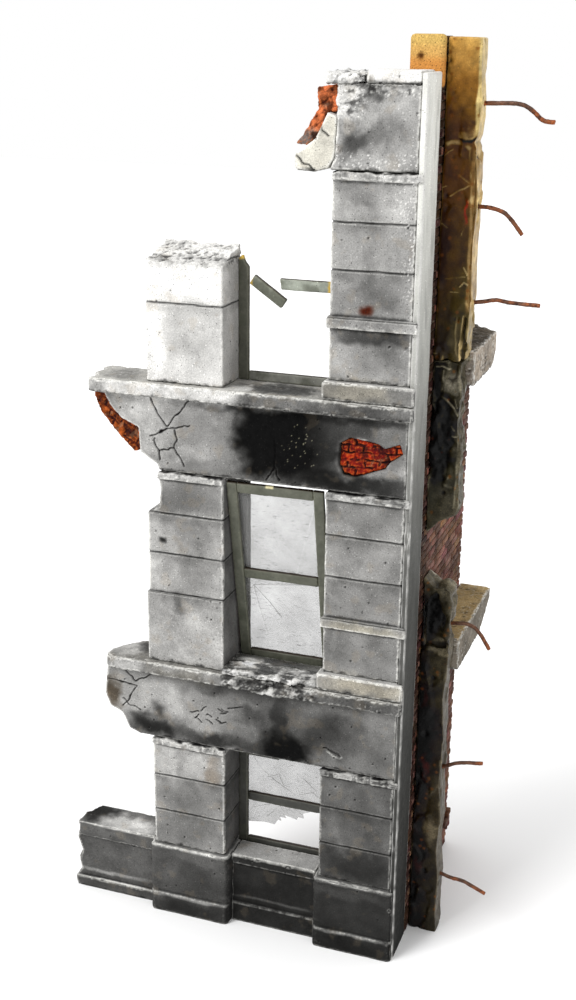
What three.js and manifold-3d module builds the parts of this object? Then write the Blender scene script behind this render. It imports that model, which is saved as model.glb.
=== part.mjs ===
// A 1:35 scale corner ruin for tabletop gaming: a two and a half storey stone front, with a brick
// side wall behind its right end and a torn concrete fin that carries bent reinforcing wires.
// Units are millimetres and +Z is up. The front looks along -Y, its piers stand on the plane Y = 0,
// and the plane X = 0 is the flush right end of the front.
import * as THREE from 'three';
import { mergeVertices } from 'three/addons/utils/BufferGeometryUtils.js';
import Module from 'manifold-3d';

const wasm = await Module();
wasm.setup();

// ---- driving dimensions ----
const GAP = 0.3; // clearance between neighbouring castings
const WALL = 14.3; // thickness of the front
const STOREY = 89.8; // rise from one sill ledge to the next
const COURSE = 12.9; // one stone course of a pier
const BASE_TOP = 25; // top of the ground floor base; the string bands repeat it on each storey
const CAP_HEIGHT = 2.1; // rough moulding at the head of a pier
const BELT_BOTTOM = BASE_TOP + 3 * COURSE + 0.6; // underside of a belt, above its floor's datum
const BELT_TOP = 86.9; // top of a belt's fascia
const LEDGE_TOP = 91.2; // top of a belt's ledge, where the next storey stands
const PEDESTAL_TOP = 96.6; // top of the plain pedestal under a right hand pier
const BAND_HEIGHT = 3; // string band below the first joint
const RETURN = 1.5; // thickness of the plain strip on the right end of the front
const FRONT_TOP = 269.4; // top of the front at its tallest

const LEFT_PIER = { left: -81.7, right: -57.2 };
const RIGHT_PIER = { left: -25.1, right: -RETURN - GAP };
const LEFT_BASE = { left: -83.1, right: -55.8 };
const RIGHT_BASE = { left: -26.5, right: -RETURN - GAP };
const DWARF_WALL = { left: -113, right: LEFT_BASE.left - GAP };

const BASE_PROUD = 1.2; // how far each part stands out from the pier face
const PLINTH_PROUD = 1.7;
const LEDGE_PROUD = 2.6;
const PEDESTAL_PROUD = 1.9;
const BAND_PROUD = 1.3;
const CAP_PROUD = 0.9;
const BAND_OVERHANG = 0.6; // how far a band or footing runs past the side of its pier
const PLINTH_HEIGHT = 7.2;
const RECESS = 2.5; // the walls between the piers stand this far back

const JOINT_HEIGHT = 0.5; // engraved joint between two courses
const JOINT_DEPTH = 0.6;

const SIDE_WALL = { left: -8.8, front: WALL + GAP, back: 73, top: 278.2 };
const FIN = { front: 19, back: 26.6, left: GAP };
const SIDE_LEDGE = { reach: 10.4, height: 10.3, rise: 1 };

const STRIP_WIDTH = 3; // window frame strips
const STRIP_THICKNESS = 1.2;
const PANE_THICKNESS = 0.4;
const FRAME_FRONT = 12; // upright frames stand this far behind the pier face
const FRAME_SEAT = 23; // level of the step behind the base that the ground floor frame stands on
const WINDOW = { left: LEFT_PIER.right + GAP, right: RIGHT_PIER.left - GAP };
const WIRE_DIAMETER = 1.15;

// ---- materials ----
function material(colour, roughness, metalness = 0) {
  return new THREE.MeshStandardMaterial({ color: colour, roughness, metalness });
}
const paleStone = material(0xbdbdbb, 0.9);
const greyStone = material(0x8d8e8f, 0.9);
const sootStone = material(0x5b5c5e, 0.92);
const redBrick = material(0xc4572f, 0.88);
const sideBrick = material(0x96695f, 0.9);
const concrete = material(0x4b3c2a, 0.8);
const amberResin = material(0xb98a38, 0.45);
const frameGreen = material(0x7b7e63, 0.7);
const acetate = new THREE.MeshStandardMaterial({
  color: 0xe9edf0, roughness: 0.15, metalness: 0, transparent: true, opacity: 0.35,
});
const rustyWire = material(0x7d4a35, 0.55, 0.6);

// ---- solids ----
// A closed geometry becomes a solid that can be joined and cut.
function solid(geometry) {
  const bare = geometry.clone();
  bare.deleteAttribute('normal');
  bare.deleteAttribute('uv');
  const merged = mergeVertices(bare, 1e-4);
  return new wasm.Manifold(new wasm.Mesh({
    numProp: 3,
    vertProperties: new Float32Array(merged.attributes.position.array),
    triVerts: new Uint32Array(merged.index.array),
  }));
}

function geometryOf(manifold) {
  const mesh = manifold.getMesh();
  const geometry = new THREE.BufferGeometry();
  geometry.setAttribute('position', new THREE.BufferAttribute(new Float32Array(mesh.vertProperties), 3));
  geometry.setIndex(new THREE.BufferAttribute(new Uint32Array(mesh.triVerts), 1));
  geometry.computeVertexNormals();
  return geometry;
}

function box(x0, x1, y0, y1, z0, z1) {
  const geometry = new THREE.BoxGeometry(x1 - x0, y1 - y0, z1 - z0);
  geometry.translate((x0 + x1) / 2, (y0 + y1) / 2, (z0 + z1) / 2);
  return solid(geometry);
}

function shapeOf(points) {
  return new THREE.Shape(points.map(([u, v]) => new THREE.Vector2(u, v)));
}

// An outline drawn on the front elevation (x, z), given thickness in Y.
function elevation(points, front, back) {
  const geometry = new THREE.ExtrudeGeometry(shapeOf(points), { depth: back - front, bevelEnabled: false });
  geometry.rotateX(Math.PI / 2);
  geometry.translate(0, back, 0);
  return solid(geometry);
}

// An outline drawn on the plan (x, y), given height in Z.
function plan(points, bottom, top) {
  const geometry = new THREE.ExtrudeGeometry(shapeOf(points), { depth: top - bottom, bevelEnabled: false });
  geometry.translate(0, 0, bottom);
  return solid(geometry);
}

// An outline drawn on the side elevation (y, z), given thickness in X.
function profile(points, left, right) {
  const geometry = new THREE.ExtrudeGeometry(shapeOf(points), { depth: right - left, bevelEnabled: false });
  geometry.rotateX(Math.PI / 2);
  geometry.rotateZ(Math.PI / 2);
  geometry.translate(left, 0, 0);
  return solid(geometry);
}

// A smooth, repeatable unevenness between -1 and 1, for torn faces.
function unevenness(x, y, z) {
  const coarse = Math.sin(0.43 * x + 1.3) * Math.cos(0.51 * y + 0.4 * z);
  const fine = Math.sin(1.17 * x + 0.9 * y - 0.83 * z + 0.7);
  return 0.6 * coarse + 0.4 * fine;
}

// A block whose top is torn: it rises from front to back and is uneven.
function tornTopBlock(x0, x1, y0, y1, z0, z1, rise, amplitude) {
  const cell = 2.6;
  const columns = Math.ceil((x1 - x0) / cell);
  const rows = Math.ceil((y1 - y0) / cell);
  const geometry = new THREE.BoxGeometry(x1 - x0, y1 - y0, z1 - z0, columns, rows, 1);
  geometry.translate((x0 + x1) / 2, (y0 + y1) / 2, (z0 + z1) / 2);
  const position = geometry.attributes.position;
  for (let i = 0; i < position.count; i += 1) {
    if (position.getZ(i) > (z0 + z1) / 2) {
      const x = position.getX(i);
      const y = position.getY(i);
      const climb = rise * (y - y0) / (y1 - y0);
      position.setZ(i, z1 + climb + amplitude * unevenness(x * 2, y * 2, z1));
    }
  }
  return solid(geometry);
}

const ruin = new THREE.Group();

function add(name, shape, look, parent = ruin) {
  const geometry = shape.isBufferGeometry ? shape : geometryOf(shape);
  const mesh = new THREE.Mesh(geometry, look);
  mesh.name = name;
  parent.add(mesh);
  return mesh;
}

// ---- stonework: courses, mouldings and piers ----
function floorLevel(floor) {
  return floor * STOREY;
}

// A slab as deep as the wall whose front edge stands proud and reaches across the end strip. Its
// front may run past the pier on the left, by the overhang, as deep as overhangBack.
function proudSlab(left, right, bottom, top, proud, overhang = 0, overhangBack = 1) {
  const body = box(left, right, 0, WALL, bottom, top);
  const reach = right === RIGHT_PIER.right ? 0 : right;
  const nosing = box(left - overhang, reach, -proud, -GAP, bottom, top);
  const front = box(left - overhang, right, -proud, overhangBack, bottom, top);
  return body.add(nosing).add(front);
}

function cutJoints(uncut, left, right, levels) {
  const halfJoint = JOINT_HEIGHT / 2;
  let cut = uncut;
  for (const level of levels) {
    const groove = box(left - 2, right + 2, -2, JOINT_DEPTH, level - halfJoint, level + halfJoint);
    cut = cut.subtract(groove);
  }
  return cut;
}

// Small bites out of a moulding's front edge, at chosen distances along it.
function chip(piece, bites, bottom, top, proud) {
  let chipped = piece;
  for (const [centre, width] of bites) {
    const depth = 0.75 * proud;
    const outline = [
      [centre - width / 2, -proud - 1], [centre + width / 2, -proud - 1],
      [centre + width / 5, -proud + depth], [centre - width / 4, -proud + 0.8 * depth],
    ];
    chipped = chipped.subtract(plan(outline, bottom - 0.1, top + 0.1));
  }
  return chipped;
}

// ---- base ----
function roundedBase(left, right, height, proud) {
  const radius = 1.6;
  const shape = new THREE.Shape();
  shape.moveTo(left, WALL);
  shape.lineTo(left, -proud + radius);
  shape.absarc(left + radius, -proud + radius, radius, Math.PI, 1.5 * Math.PI, false);
  shape.lineTo(right - radius, -proud);
  shape.absarc(right - radius, -proud + radius, radius, 1.5 * Math.PI, 2 * Math.PI, false);
  shape.lineTo(right, WALL);
  return solid(new THREE.ExtrudeGeometry(shape, { depth: height, bevelEnabled: false, curveSegments: 4 }));
}

// A pier's base; its corner beside the window is notched for the foot of the frame.
function pierBase(left, right) {
  const isRight = right === RIGHT_BASE.right;
  const outer = isRight ? -GAP : right;
  const body = roundedBase(left, outer, BASE_TOP, BASE_PROUD);
  const plinth = roundedBase(left, outer, PLINTH_HEIGHT, PLINTH_PROUD);
  const notch = box(LEFT_PIER.right, RIGHT_PIER.left, FRAME_FRONT - 1, WALL + 1, FRAME_SEAT, BASE_TOP + 1);
  const base = body.add(plinth).subtract(notch);
  if (!isRight) {
    return base;
  }
  return base.subtract(box(right, 1, -GAP, WALL + 1, -1, BASE_TOP + 1));
}

add('left_pier_base', pierBase(LEFT_BASE.left, LEFT_BASE.right), greyStone);
add('right_pier_base', pierBase(RIGHT_BASE.left, RIGHT_BASE.right), sootStone);

// The low wall under the ground floor window; its back edge is stepped down to seat the frame.
const plinthLeft = LEFT_BASE.right + GAP;
const plinthRight = RIGHT_BASE.left - GAP;
const sillBand = 3;
const windowPlinth = box(plinthLeft, plinthRight, RECESS, WALL, 0, BASE_TOP - sillBand)
  .add(box(plinthLeft, plinthRight, RECESS - 0.6, WALL, 0, PLINTH_HEIGHT))
  .add(box(plinthLeft, plinthRight, RECESS - 0.6, WALL, BASE_TOP - sillBand, BASE_TOP))
  .subtract(box(plinthLeft - 1, plinthRight + 1, FRAME_FRONT - 1, WALL + 1, FRAME_SEAT, BASE_TOP + 1));
add('window_plinth', windowPlinth, sootStone);

// The broken dwarf wall to the left: plinth, recessed middle and top band, with a ragged end.
const dwarfTop = 24.8;
const dwarfBand = 5;
const dwarfBody = box(DWARF_WALL.left, DWARF_WALL.right, RECESS + 0.7, WALL, 0, dwarfTop)
  .add(box(DWARF_WALL.left, DWARF_WALL.right, RECESS - 0.4, WALL, 0, 3.6))
  .add(box(DWARF_WALL.left, DWARF_WALL.right, RECESS, WALL, dwarfTop - dwarfBand, dwarfTop));
const raggedEnd = [
  [-115, -1], [-112.6, -1], [-113, 3.4], [-111.4, 6], [-112.2, 10.5], [-110.8, 13.5],
  [-112.4, 18.2], [-111.2, 22], [-111.8, 26], [-115, 26],
];
const raggedTop = [[-115, 6], [-110.6, 9.5], [-108.4, 15], [-115, 15]];
const dwarfWall = dwarfBody.subtract(elevation(raggedEnd, -1, WALL + 1))
  .subtract(plan(raggedTop, 15, dwarfTop + 1));
add('left_dwarf_wall', dwarfWall, greyStone);

// ---- piers ----
// A pier of stone courses with a rough cap under the belt. Right hand piers carry a string band.
function pier(side, floor, bottom, options) {
  const base = floorLevel(floor);
  const top = base + BELT_BOTTOM - GAP;
  const capBottom = top - CAP_HEIGHT;
  const joints = [base + BASE_TOP + COURSE, base + BASE_TOP + 2 * COURSE];
  let shape = box(side.left, side.right, 0, WALL, bottom, capBottom + 0.01);
  const cap = proudSlab(side.left, side.right, capBottom, top, CAP_PROUD);
  shape = shape.add(chip(cap, options.bites, capBottom, top, CAP_PROUD));
  if (options.band) {
    const bandTop = base + BASE_TOP;
    const bandBottom = bandTop - BAND_HEIGHT;
    shape = shape.add(proudSlab(side.left, side.right, bandBottom, bandTop, BAND_PROUD, BAND_OVERHANG));
  }
  if (options.footing) {
    shape = shape.add(box(side.left - BAND_OVERHANG, side.right, -0.5, WALL, bottom, base + BASE_TOP));
    joints.push(base + BASE_TOP);
  }
  return cutJoints(shape, side.left, side.right, joints);
}

add('ground_left_pier', pier(LEFT_PIER, 0, BASE_TOP + GAP, {
  bites: [[-79, 2.4], [-70.5, 3.4], [-64.8, 1.8], [-59.6, 2.6]],
}), greyStone);
add('ground_right_pier', pier(RIGHT_PIER, 0, BASE_TOP + GAP, {
  bites: [[-21.4, 2.8], [-14, 2], [-9.6, 3], [-3.8, 1.8]],
}), sootStone);

// The left pier of the first storey has lost the outer corner of its top course.
const lostCorner = [
  [-85, STOREY + BASE_TOP + 2 * COURSE + 0.2], [-80.2, STOREY + BASE_TOP + 2 * COURSE + 0.2],
  [-77.9, STOREY + 53], [-77.3, STOREY + 58], [-78.1, STOREY + 62], [-77.4, STOREY + 66], [-85, STOREY + 66],
];
const firstLeft = pier(LEFT_PIER, 1, STOREY + 1.7, {
  footing: true, bites: [[-58.6, 2.6]],
}).subtract(elevation(lostCorner, -3, WALL + 1));
add('first_left_pier', firstLeft, paleStone);
add('first_right_pier', pier(RIGHT_PIER, 1, PEDESTAL_TOP + GAP, {
  band: true, bites: [],
}), greyStone);
add('second_right_pier', pier(RIGHT_PIER, 2, STOREY + PEDESTAL_TOP + GAP, {
  band: true, bites: [[-23.4, 3], [-11.8, 3.4]],
}), greyStone);

// The left pier of the second storey is a stub with a torn top.
const stubTop = 216.2;
const stubBottom = STOREY + LEDGE_TOP + GAP;
const stub = tornTopBlock(LEFT_PIER.left + 0.6, LEFT_PIER.right, 0, WALL, stubBottom, stubTop, 4.4, 0.9);
const secondLeft = cutJoints(stub, LEFT_PIER.left, LEFT_PIER.right, [floorLevel(2) + BASE_TOP]);
add('second_left_pier', secondLeft, paleStone);

// ---- belts ----
function pedestal(floor) {
  const bottom = floorLevel(floor) + LEDGE_TOP + GAP;
  const top = floorLevel(floor) + PEDESTAL_TOP;
  const overhang = RIGHT_PIER.left - RIGHT_BASE.left;
  return proudSlab(RIGHT_PIER.left, RIGHT_PIER.right, bottom, top, PEDESTAL_PROUD, overhang, RECESS);
}

const lowerEnd = [
  [-86.4, BELT_BOTTOM], [-90, BELT_BOTTOM + 1.3], [-92.6, BELT_BOTTOM + 6.4], [-96.6, BELT_BOTTOM + 8.2],
  [-98.2, BELT_BOTTOM + 12], [-97.8, BELT_BOTTOM + 17], [-97.2, BELT_TOP],
];
const lowerFascia = elevation(
  [[RIGHT_PIER.right, BELT_TOP], [RIGHT_PIER.right, BELT_BOTTOM], ...lowerEnd], 0, WALL,
);
const lowerGouge = [[-24.4, 71.5], [-18.8, 69.4], [-18.4, 68.4], [-21.8, 69.4]];
add('lower_belt_fascia', lowerFascia.subtract(elevation(lowerGouge, -1, 0.9)), greyStone);

const ledgeFront = [[RIGHT_PIER.right, -GAP], [0, -GAP], [0, -LEDGE_PROUD]];
const lowerLedgeEnd = [
  [-94.6, -LEDGE_PROUD], [-96.6, -1.4], [-96.8, 1.8], [-95, 6.2], [-90.2, 11.4], [-86, WALL],
];
const lowerLedge = plan(
  [[RIGHT_PIER.right, WALL], ...ledgeFront, ...lowerLedgeEnd], BELT_TOP + GAP, LEDGE_TOP,
);
const lowerBites = [[-41, 4], [-33.6, 2.6]];
add('lower_belt_ledge', chip(lowerLedge, lowerBites, BELT_TOP + 2, LEDGE_TOP, LEDGE_PROUD), paleStone);

// A crumbling sill sits on the ledge between the piers.
const sillTop = 1.5;
const sillBack = FRAME_FRONT - 1.4;
const sillOutline = [
  [WINDOW.right - 1.5, sillBack], [WINDOW.right - 1.5, -1.5], [-29.4, -2.1], [-32, -0.9], [-35.2, -2],
  [-38, -1.1], [-42.6, -2.2], [-49, -1.8], [-53, -2.2], [WINDOW.left, -1.9], [WINDOW.left, sillBack],
];
add('first_window_sill', plan(sillOutline, LEDGE_TOP + GAP, LEDGE_TOP + GAP + sillTop), paleStone);
add('lower_right_pedestal', pedestal(0), paleStone);

// The upper belt has lost the plaster of its left end and of a patch on the right: brick shows there.
const upperBottom = STOREY + BELT_BOTTOM;
const upperTop = STOREY + BELT_TOP;
const plasterEdge = [
  [-77.6, upperBottom], [-78.4, upperBottom + 2], [-82.8, upperBottom + 4.6], [-83.9, upperBottom + 5],
  [-84.2, upperBottom + 12.6], [-89.6, upperBottom + 14.8], [-93.6, upperBottom + 18.8],
  [-95.4, upperTop],
];
const brickPatchOutline = [
  [-21.6, 168.6], [-18.3, 170.6], [-10.2, 169.6], [-8.1, 168.4], [-3.7, 170.1], [-2.7, 167], [-6.5, 164.2],
  [-7.9, 162], [-12.6, 160.2], [-16.5, 158.8], [-20.1, 159], [-21.7, 162],
];
const patchDepth = 2.6;
const upperFascia = elevation(
  [[RIGHT_PIER.right, upperTop], [RIGHT_PIER.right, upperBottom], ...plasterEdge], 0, WALL,
);
add('upper_belt_fascia', upperFascia.subtract(elevation(brickPatchOutline, -1, patchDepth)), greyStone);

function inset(points, distance) {
  const centre = points.reduce(([u, v], [x, z]) => [u + x / points.length, v + z / points.length], [0, 0]);
  return points.map(([x, z]) => {
    const run = Math.hypot(x - centre[0], z - centre[1]);
    const scale = (run - distance) / run;
    return [centre[0] + (x - centre[0]) * scale, centre[1] + (z - centre[1]) * scale];
  });
}

add('upper_belt_brick_patch', elevation(inset(brickPatchOutline, 0.5), 0.9, patchDepth - GAP), redBrick);

const brickEndOutline = [
  [-84.4, upperBottom + 5.6], [-84.6, upperBottom + 12.4], [-90, upperBottom + 14.5],
  [-94, upperBottom + 18.4], [-95.9, upperTop], [-99, upperTop], [-98, upperBottom + 17.2],
  [-92, upperBottom + 10.2], [-86.4, upperBottom + 4.6],
];
add('upper_belt_brick_end', elevation(brickEndOutline, 1, WALL), redBrick);

const upperLedgeEnd = [
  [-96.6, -LEDGE_PROUD], [-99.4, -1.9], [-98.2, 1.4], [-100.4, 4.6], [-99.6, 8.8], [-101, 11.6],
  [-99.8, WALL],
];
const upperLedgeTop = STOREY + LEDGE_TOP;
const upperLedge = plan(
  [[RIGHT_PIER.right, WALL], ...ledgeFront, ...upperLedgeEnd], upperTop + GAP, upperLedgeTop,
);
add('upper_belt_ledge', upperLedge, paleStone);
add('upper_right_pedestal', pedestal(1), greyStone);

// ---- the stub of the third belt, at the head of the right pier ----
const headBottom = 2 * STOREY + BELT_BOTTOM;
const headTop = headBottom + 22;
const headOutline = [
  [RIGHT_PIER.right, headTop], [RIGHT_PIER.right, headBottom], [-26.1, headBottom], [-24.7, headBottom + 3],
  [-24, headBottom + 15], [-24.4, headTop],
];
add('head_block', elevation(headOutline, 0, WALL), sootStone);

const copingBottom = headTop + GAP;
add('head_coping', box(-16.4, RIGHT_PIER.right, 0, WALL, copingBottom, FRONT_TOP), paleStone);

const rubble = tornTopBlock(-27.2, -16.7, -0.6, WALL - 0.6, copingBottom, FRONT_TOP - 0.9, 0.4, 0.9);
add('head_rubble', rubble, paleStone);

const fragmentOutline = [
  [-26.9, headBottom + 0.2], [-25.1, headBottom + 3.2], [-24.5, headBottom + 13.6], [-27, headBottom + 14.6],
  [-30.3, headBottom + 7.8], [-33.5, headBottom + 5.4], [-35.9, headBottom + 3.8], [-36.1, headBottom - 0.3],
  [-30.6, headBottom - 0.7],
];
add('arch_fragment', elevation(fragmentOutline, 0.4, WALL - 3), paleStone);

const archBrickOutline = [
  [-24.8, headBottom + 14.9], [-24.8, headTop - 0.4], [-30.4, headTop - 1.2], [-30.2, headBottom + 15.6],
  [-33.4, headBottom + 10.4], [-36.2, headBottom + 6.4], [-33.4, headBottom + 6], [-30.6, headBottom + 8.4],
  [-27.3, headBottom + 15.1],
];
add('arch_brick', elevation(archBrickOutline, 2.6, WALL - 1.6), redBrick);

// ---- the plain strip on the right end of the front ----
add('side_return', box(-RETURN, 0, 0, WALL, 0, FRONT_TOP - 0.4), greyStone);

// ---- brick side wall, cast storey by storey, broken off in steps at the top ----
function sideWallSection(bottom, top) {
  return box(SIDE_WALL.left, 0, SIDE_WALL.front, SIDE_WALL.back, bottom, top);
}
const upperJoint = STOREY + LEDGE_TOP; // the side wall's joints are level with the ledges of the front
add('side_wall_ground', sideWallSection(0, LEDGE_TOP), sideBrick);
add('side_wall_first', sideWallSection(LEDGE_TOP + GAP, upperJoint), sideBrick);
const sideWallBreak = [
  [SIDE_WALL.front, upperJoint + GAP], [SIDE_WALL.back, upperJoint + GAP], [SIDE_WALL.back - 1.5, 195.6],
  [67.4, 197.4], [62.8, 204.8], [56, 206.6], [53.4, 216], [46.2, 219.6], [44.4, 231], [38.4, 236.2],
  [36.6, 250.4], [31.2, 254.6], [28.8, 268], [26.4, 270.2], [25.4, SIDE_WALL.top],
  [SIDE_WALL.front, SIDE_WALL.top],
];
add('side_wall_second', profile(sideWallBreak, SIDE_WALL.left, 0), sideBrick);

// ---- ledges on the side wall ----
const ledgeFrontY = FIN.back + GAP;
const lowerSideTop = LEDGE_TOP + SIDE_LEDGE.height;
const lowerSideProfile = [
  [ledgeFrontY, LEDGE_TOP], [58, LEDGE_TOP], [66.4, LEDGE_TOP + 3.4],
  [SIDE_WALL.back - 0.4, lowerSideTop - 3.4], [SIDE_WALL.back - 0.2, lowerSideTop],
  [ledgeFrontY, lowerSideTop],
];
add('side_ledge_lower', profile(lowerSideProfile, GAP, SIDE_LEDGE.reach), paleStone);

const upperSideBottom = upperJoint + SIDE_LEDGE.rise;
const upperSideTop = upperSideBottom + SIDE_LEDGE.height;
const upperSidePlan = [
  [GAP, ledgeFrontY], [SIDE_LEDGE.reach, ledgeFrontY], [SIDE_LEDGE.reach, 57.2], [8.2, 58.6], [6.6, 61.4],
  [4, 62.6], [2.6, 65.8], [GAP, 67.4],
];
const spalledUnderside = [
  [50, upperSideBottom - 1], [60, upperSideBottom + 4.4], [72, upperSideBottom - 1],
];
const upperSideLedge = plan(upperSidePlan, upperSideBottom, upperSideTop)
  .subtract(profile(spalledUnderside, 4, SIDE_LEDGE.reach + 1));
add('side_ledge_upper', upperSideLedge, greyStone);

// ---- torn concrete fin on the line of the front, with six bent wires ----
const wires = [
  [[6, 260.8], [12, 261], [20.4, 260.8], [23.6, 258.9], [26, 256.9], [29.2, 256.5]],
  [[6, 233.6], [10.4, 233.6], [13.4, 233.4], [17.2, 232.2], [19.8, 229.7], [22.4, 226.5]],
  [[6, 206.9], [10.6, 207.1], [16.6, 208.2], [19, 207.8], [28.6, 207.4]],
  [[6, 108.4], [9.4, 108.6], [12.8, 109], [15.6, 108.2], [17.6, 106.2], [20.6, 101.6]],
  [[5, 58.8], [8.8, 59.2], [11.8, 60.8], [14.4, 61.6], [20.8, 62.6]],
  [[5, 20.8], [9.6, 20], [12.6, 19.2], [17, 18.8], [19.4, 17.8], [24.2, 15.8]],
];
const wireY = (FIN.front + FIN.back) / 2;
const wireSides = 8;

function wireGeometry(points) {
  const route = new THREE.CatmullRomCurve3(points.map(([x, z]) => new THREE.Vector3(x, wireY, z)));
  const section = new THREE.Shape();
  section.absarc(0, 0, WIRE_DIAMETER / 2, 0, 2 * Math.PI, false);
  return new THREE.ExtrudeGeometry(section, {
    extrudePath: route, steps: 3 * points.length, curveSegments: wireSides / 2, bevelEnabled: false,
  });
}

// Blind holes for the wires: each starts just behind the wire's inner end and runs out past the fin.
function drillForWires(piece) {
  const radius = WIRE_DIAMETER / 2 + GAP;
  const length = 16;
  let drilled = piece;
  for (const [[startX, startZ], [nextX, nextZ]] of wires) {
    const run = Math.hypot(nextX - startX, nextZ - startZ);
    const hole = new THREE.CylinderGeometry(radius, radius, length, wireSides);
    hole.rotateZ(Math.PI / 2 + Math.atan2(nextZ - startZ, nextX - startX));
    hole.rotateX(Math.PI / 2);
    const along = (length / 2 - GAP) / run;
    hole.translate(startX + (nextX - startX) * along, wireY, startZ + (nextZ - startZ) * along);
    drilled = drilled.subtract(solid(hole));
  }
  return drilled;
}

const finTopOutline = [
  [FIN.left, 190.6], [8.4, 190.6], [9.2, 196], [9.8, 208], [9.5, 222], [9.8, 235], [9.3, 249.6], [8.6, 250.8],
  [9.4, 252.6], [9.9, 262], [9.3, 270], [9.2, 277.6], [FIN.left, 277.8],
];
const finMiddleOutline = [
  [FIN.left, 138.2], [3.7, 142], [8.2, 144.6], [9.4, 147.4], [8.6, 158], [9, 165], [8.2, 172], [8.6, 180],
  [7.8, 186], [8.4, 190.3], [FIN.left, 190.3],
];
const finLowerOutline = [
  [FIN.left, 0], [9.3, 0], [8.8, 12], [9.3, 20], [8.2, 30], [8.9, 42], [8, 56], [8.6, 70], [7.8, 84],
  [8.7, 97], [8.9, 101.2], [8.2, 106], [8.9, 113], [8.6, 120], [6.6, 121.4], [4, 120.6], [FIN.left, 123.8],
];
// A vertical crevice near the end of the top block, and a hollow above the shoulder of the lower block.
const crevice = [[7.2, 190], [8.9, 190], [9.1, 203], [8, 204.5], [7.6, 199]];
const hollow = [[1.2, 101.4], [7.6, 101.4], [7.2, 112], [4.6, 119], [1.4, 116]];
const hollowDepth = 2.4;
const creviceDepth = 3;
const finTop = elevation(finTopOutline, FIN.front, FIN.back)
  .subtract(elevation(crevice, FIN.front - 1, FIN.front + creviceDepth));
const finLower = elevation(finLowerOutline, FIN.front, FIN.back)
  .subtract(elevation(hollow, FIN.front - 1, FIN.front + hollowDepth));
add('fin_top', drillForWires(finTop), amberResin);
add('fin_middle', elevation(finMiddleOutline, FIN.front, FIN.back), concrete);
add('fin_lower', drillForWires(finLower), concrete);

wires.forEach((points, index) => {
  add(`rebar_${index + 1}`, wireGeometry(points), rustyWire);
});

// ---- windows ----
function strip(name, parent, x0, x1, z0, z1) {
  add(name, box(x0, x1, 0, STRIP_THICKNESS, z0, z1), frameGreen, parent);
}

function pane(name, parent, outline) {
  const front = STRIP_THICKNESS + GAP;
  add(name, elevation(outline, front, front + PANE_THICKNESS), acetate, parent);
}

// A two light sash: stiles full height, rails between them, and a clear sheet behind each light.
function sash(prefix, parent, width, height, topRailLength, upperOutline, lowerOutline) {
  const inner = STRIP_WIDTH + GAP;
  const middle = (height - STRIP_WIDTH) / 2;
  strip(`${prefix}_left_stile`, parent, 0, STRIP_WIDTH, 0, height);
  strip(`${prefix}_right_stile`, parent, width - STRIP_WIDTH, width, 0, height);
  strip(`${prefix}_bottom_rail`, parent, inner, width - inner, 0, STRIP_WIDTH);
  strip(`${prefix}_middle_rail`, parent, inner, width - inner, middle, middle + STRIP_WIDTH);
  strip(`${prefix}_top_rail`, parent, inner, inner + topRailLength, height - STRIP_WIDTH, height);
  pane(`${prefix}_upper_pane`, parent, upperOutline);
  pane(`${prefix}_lower_pane`, parent, lowerOutline);
}

const sashWidth = WINDOW.right - WINDOW.left;
const paneMargin = 0.4;

// Ground floor: upright, half of its top rail is missing, and only the top left of the lower pane,
// with a jagged edge, is left.
const groundSash = new THREE.Group();
const groundHeight = 36.4;
groundSash.position.set(WINDOW.left, FRAME_FRONT, FRAME_SEAT + GAP);
const groundMiddle = groundHeight / 2;
sash('ground_window', groundSash, sashWidth, groundHeight, 10.4, [
  [paneMargin, groundMiddle + 0.2], [sashWidth - paneMargin, groundMiddle + 0.2],
  [sashWidth - paneMargin, groundHeight], [paneMargin, groundHeight],
], [
  [paneMargin, groundMiddle - 11], [8.2, groundMiddle - 9.6], [12, groundMiddle - 9.8],
  [13.2, groundMiddle - 7.8], [14.2, groundMiddle - 8], [13.6, groundMiddle - 6.6],
  [15.9, groundMiddle - 6.6], [15, groundMiddle - 5.5], [19.7, groundMiddle - 6.4],
  [20, groundMiddle - 5.3], [22, groundMiddle - 5.4], [21.6, groundMiddle - 3.8],
  [24, groundMiddle - 2.7], [25, groundMiddle - 0.2], [paneMargin, groundMiddle - 0.2],
]);
ruin.add(groundSash);

// First floor: the sash has come loose and leans, its head against the front of the reveal.
const firstSash = new THREE.Group();
const firstHeight = 61.8;
const firstWidth = 30.1;
const firstMiddle = firstHeight / 2;
const headForward = 11.2; // how far the head leans out in front of the foot
const headAside = 0.6; // and how far it leans to the left
firstSash.position.set(WINDOW.left + 0.95, FRAME_FRONT + 0.2, LEDGE_TOP + 0.4);
firstSash.rotation.x = Math.atan2(headForward, firstHeight);
firstSash.rotation.y = -headAside / firstHeight;
sash('first_window', firstSash, firstWidth, firstHeight, firstWidth - 2 * (STRIP_WIDTH + GAP), [
  [paneMargin, firstMiddle + 0.2], [firstWidth - paneMargin, firstMiddle + 0.2],
  [firstWidth - paneMargin, firstHeight - paneMargin], [paneMargin, firstHeight - paneMargin],
], [
  [paneMargin, paneMargin], [firstWidth - paneMargin, paneMargin],
  [firstWidth - paneMargin, firstMiddle - 0.2], [paneMargin, firstMiddle - 0.2],
]);
ruin.add(firstSash);

// A strip on the back of the left pier narrows the opening behind the leaning sash.
const backStrip = { left: -60.2, right: -55, front: WALL + GAP, thickness: 2.6, overlap: 2.2 };
const stripBottom = LEDGE_TOP - backStrip.overlap;
const stripTop = STOREY + BELT_BOTTOM + backStrip.overlap;
add('first_window_back_strip', box(
  backStrip.left, backStrip.right, backStrip.front, backStrip.front + backStrip.thickness, stripBottom, stripTop,
), greyStone);

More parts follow.
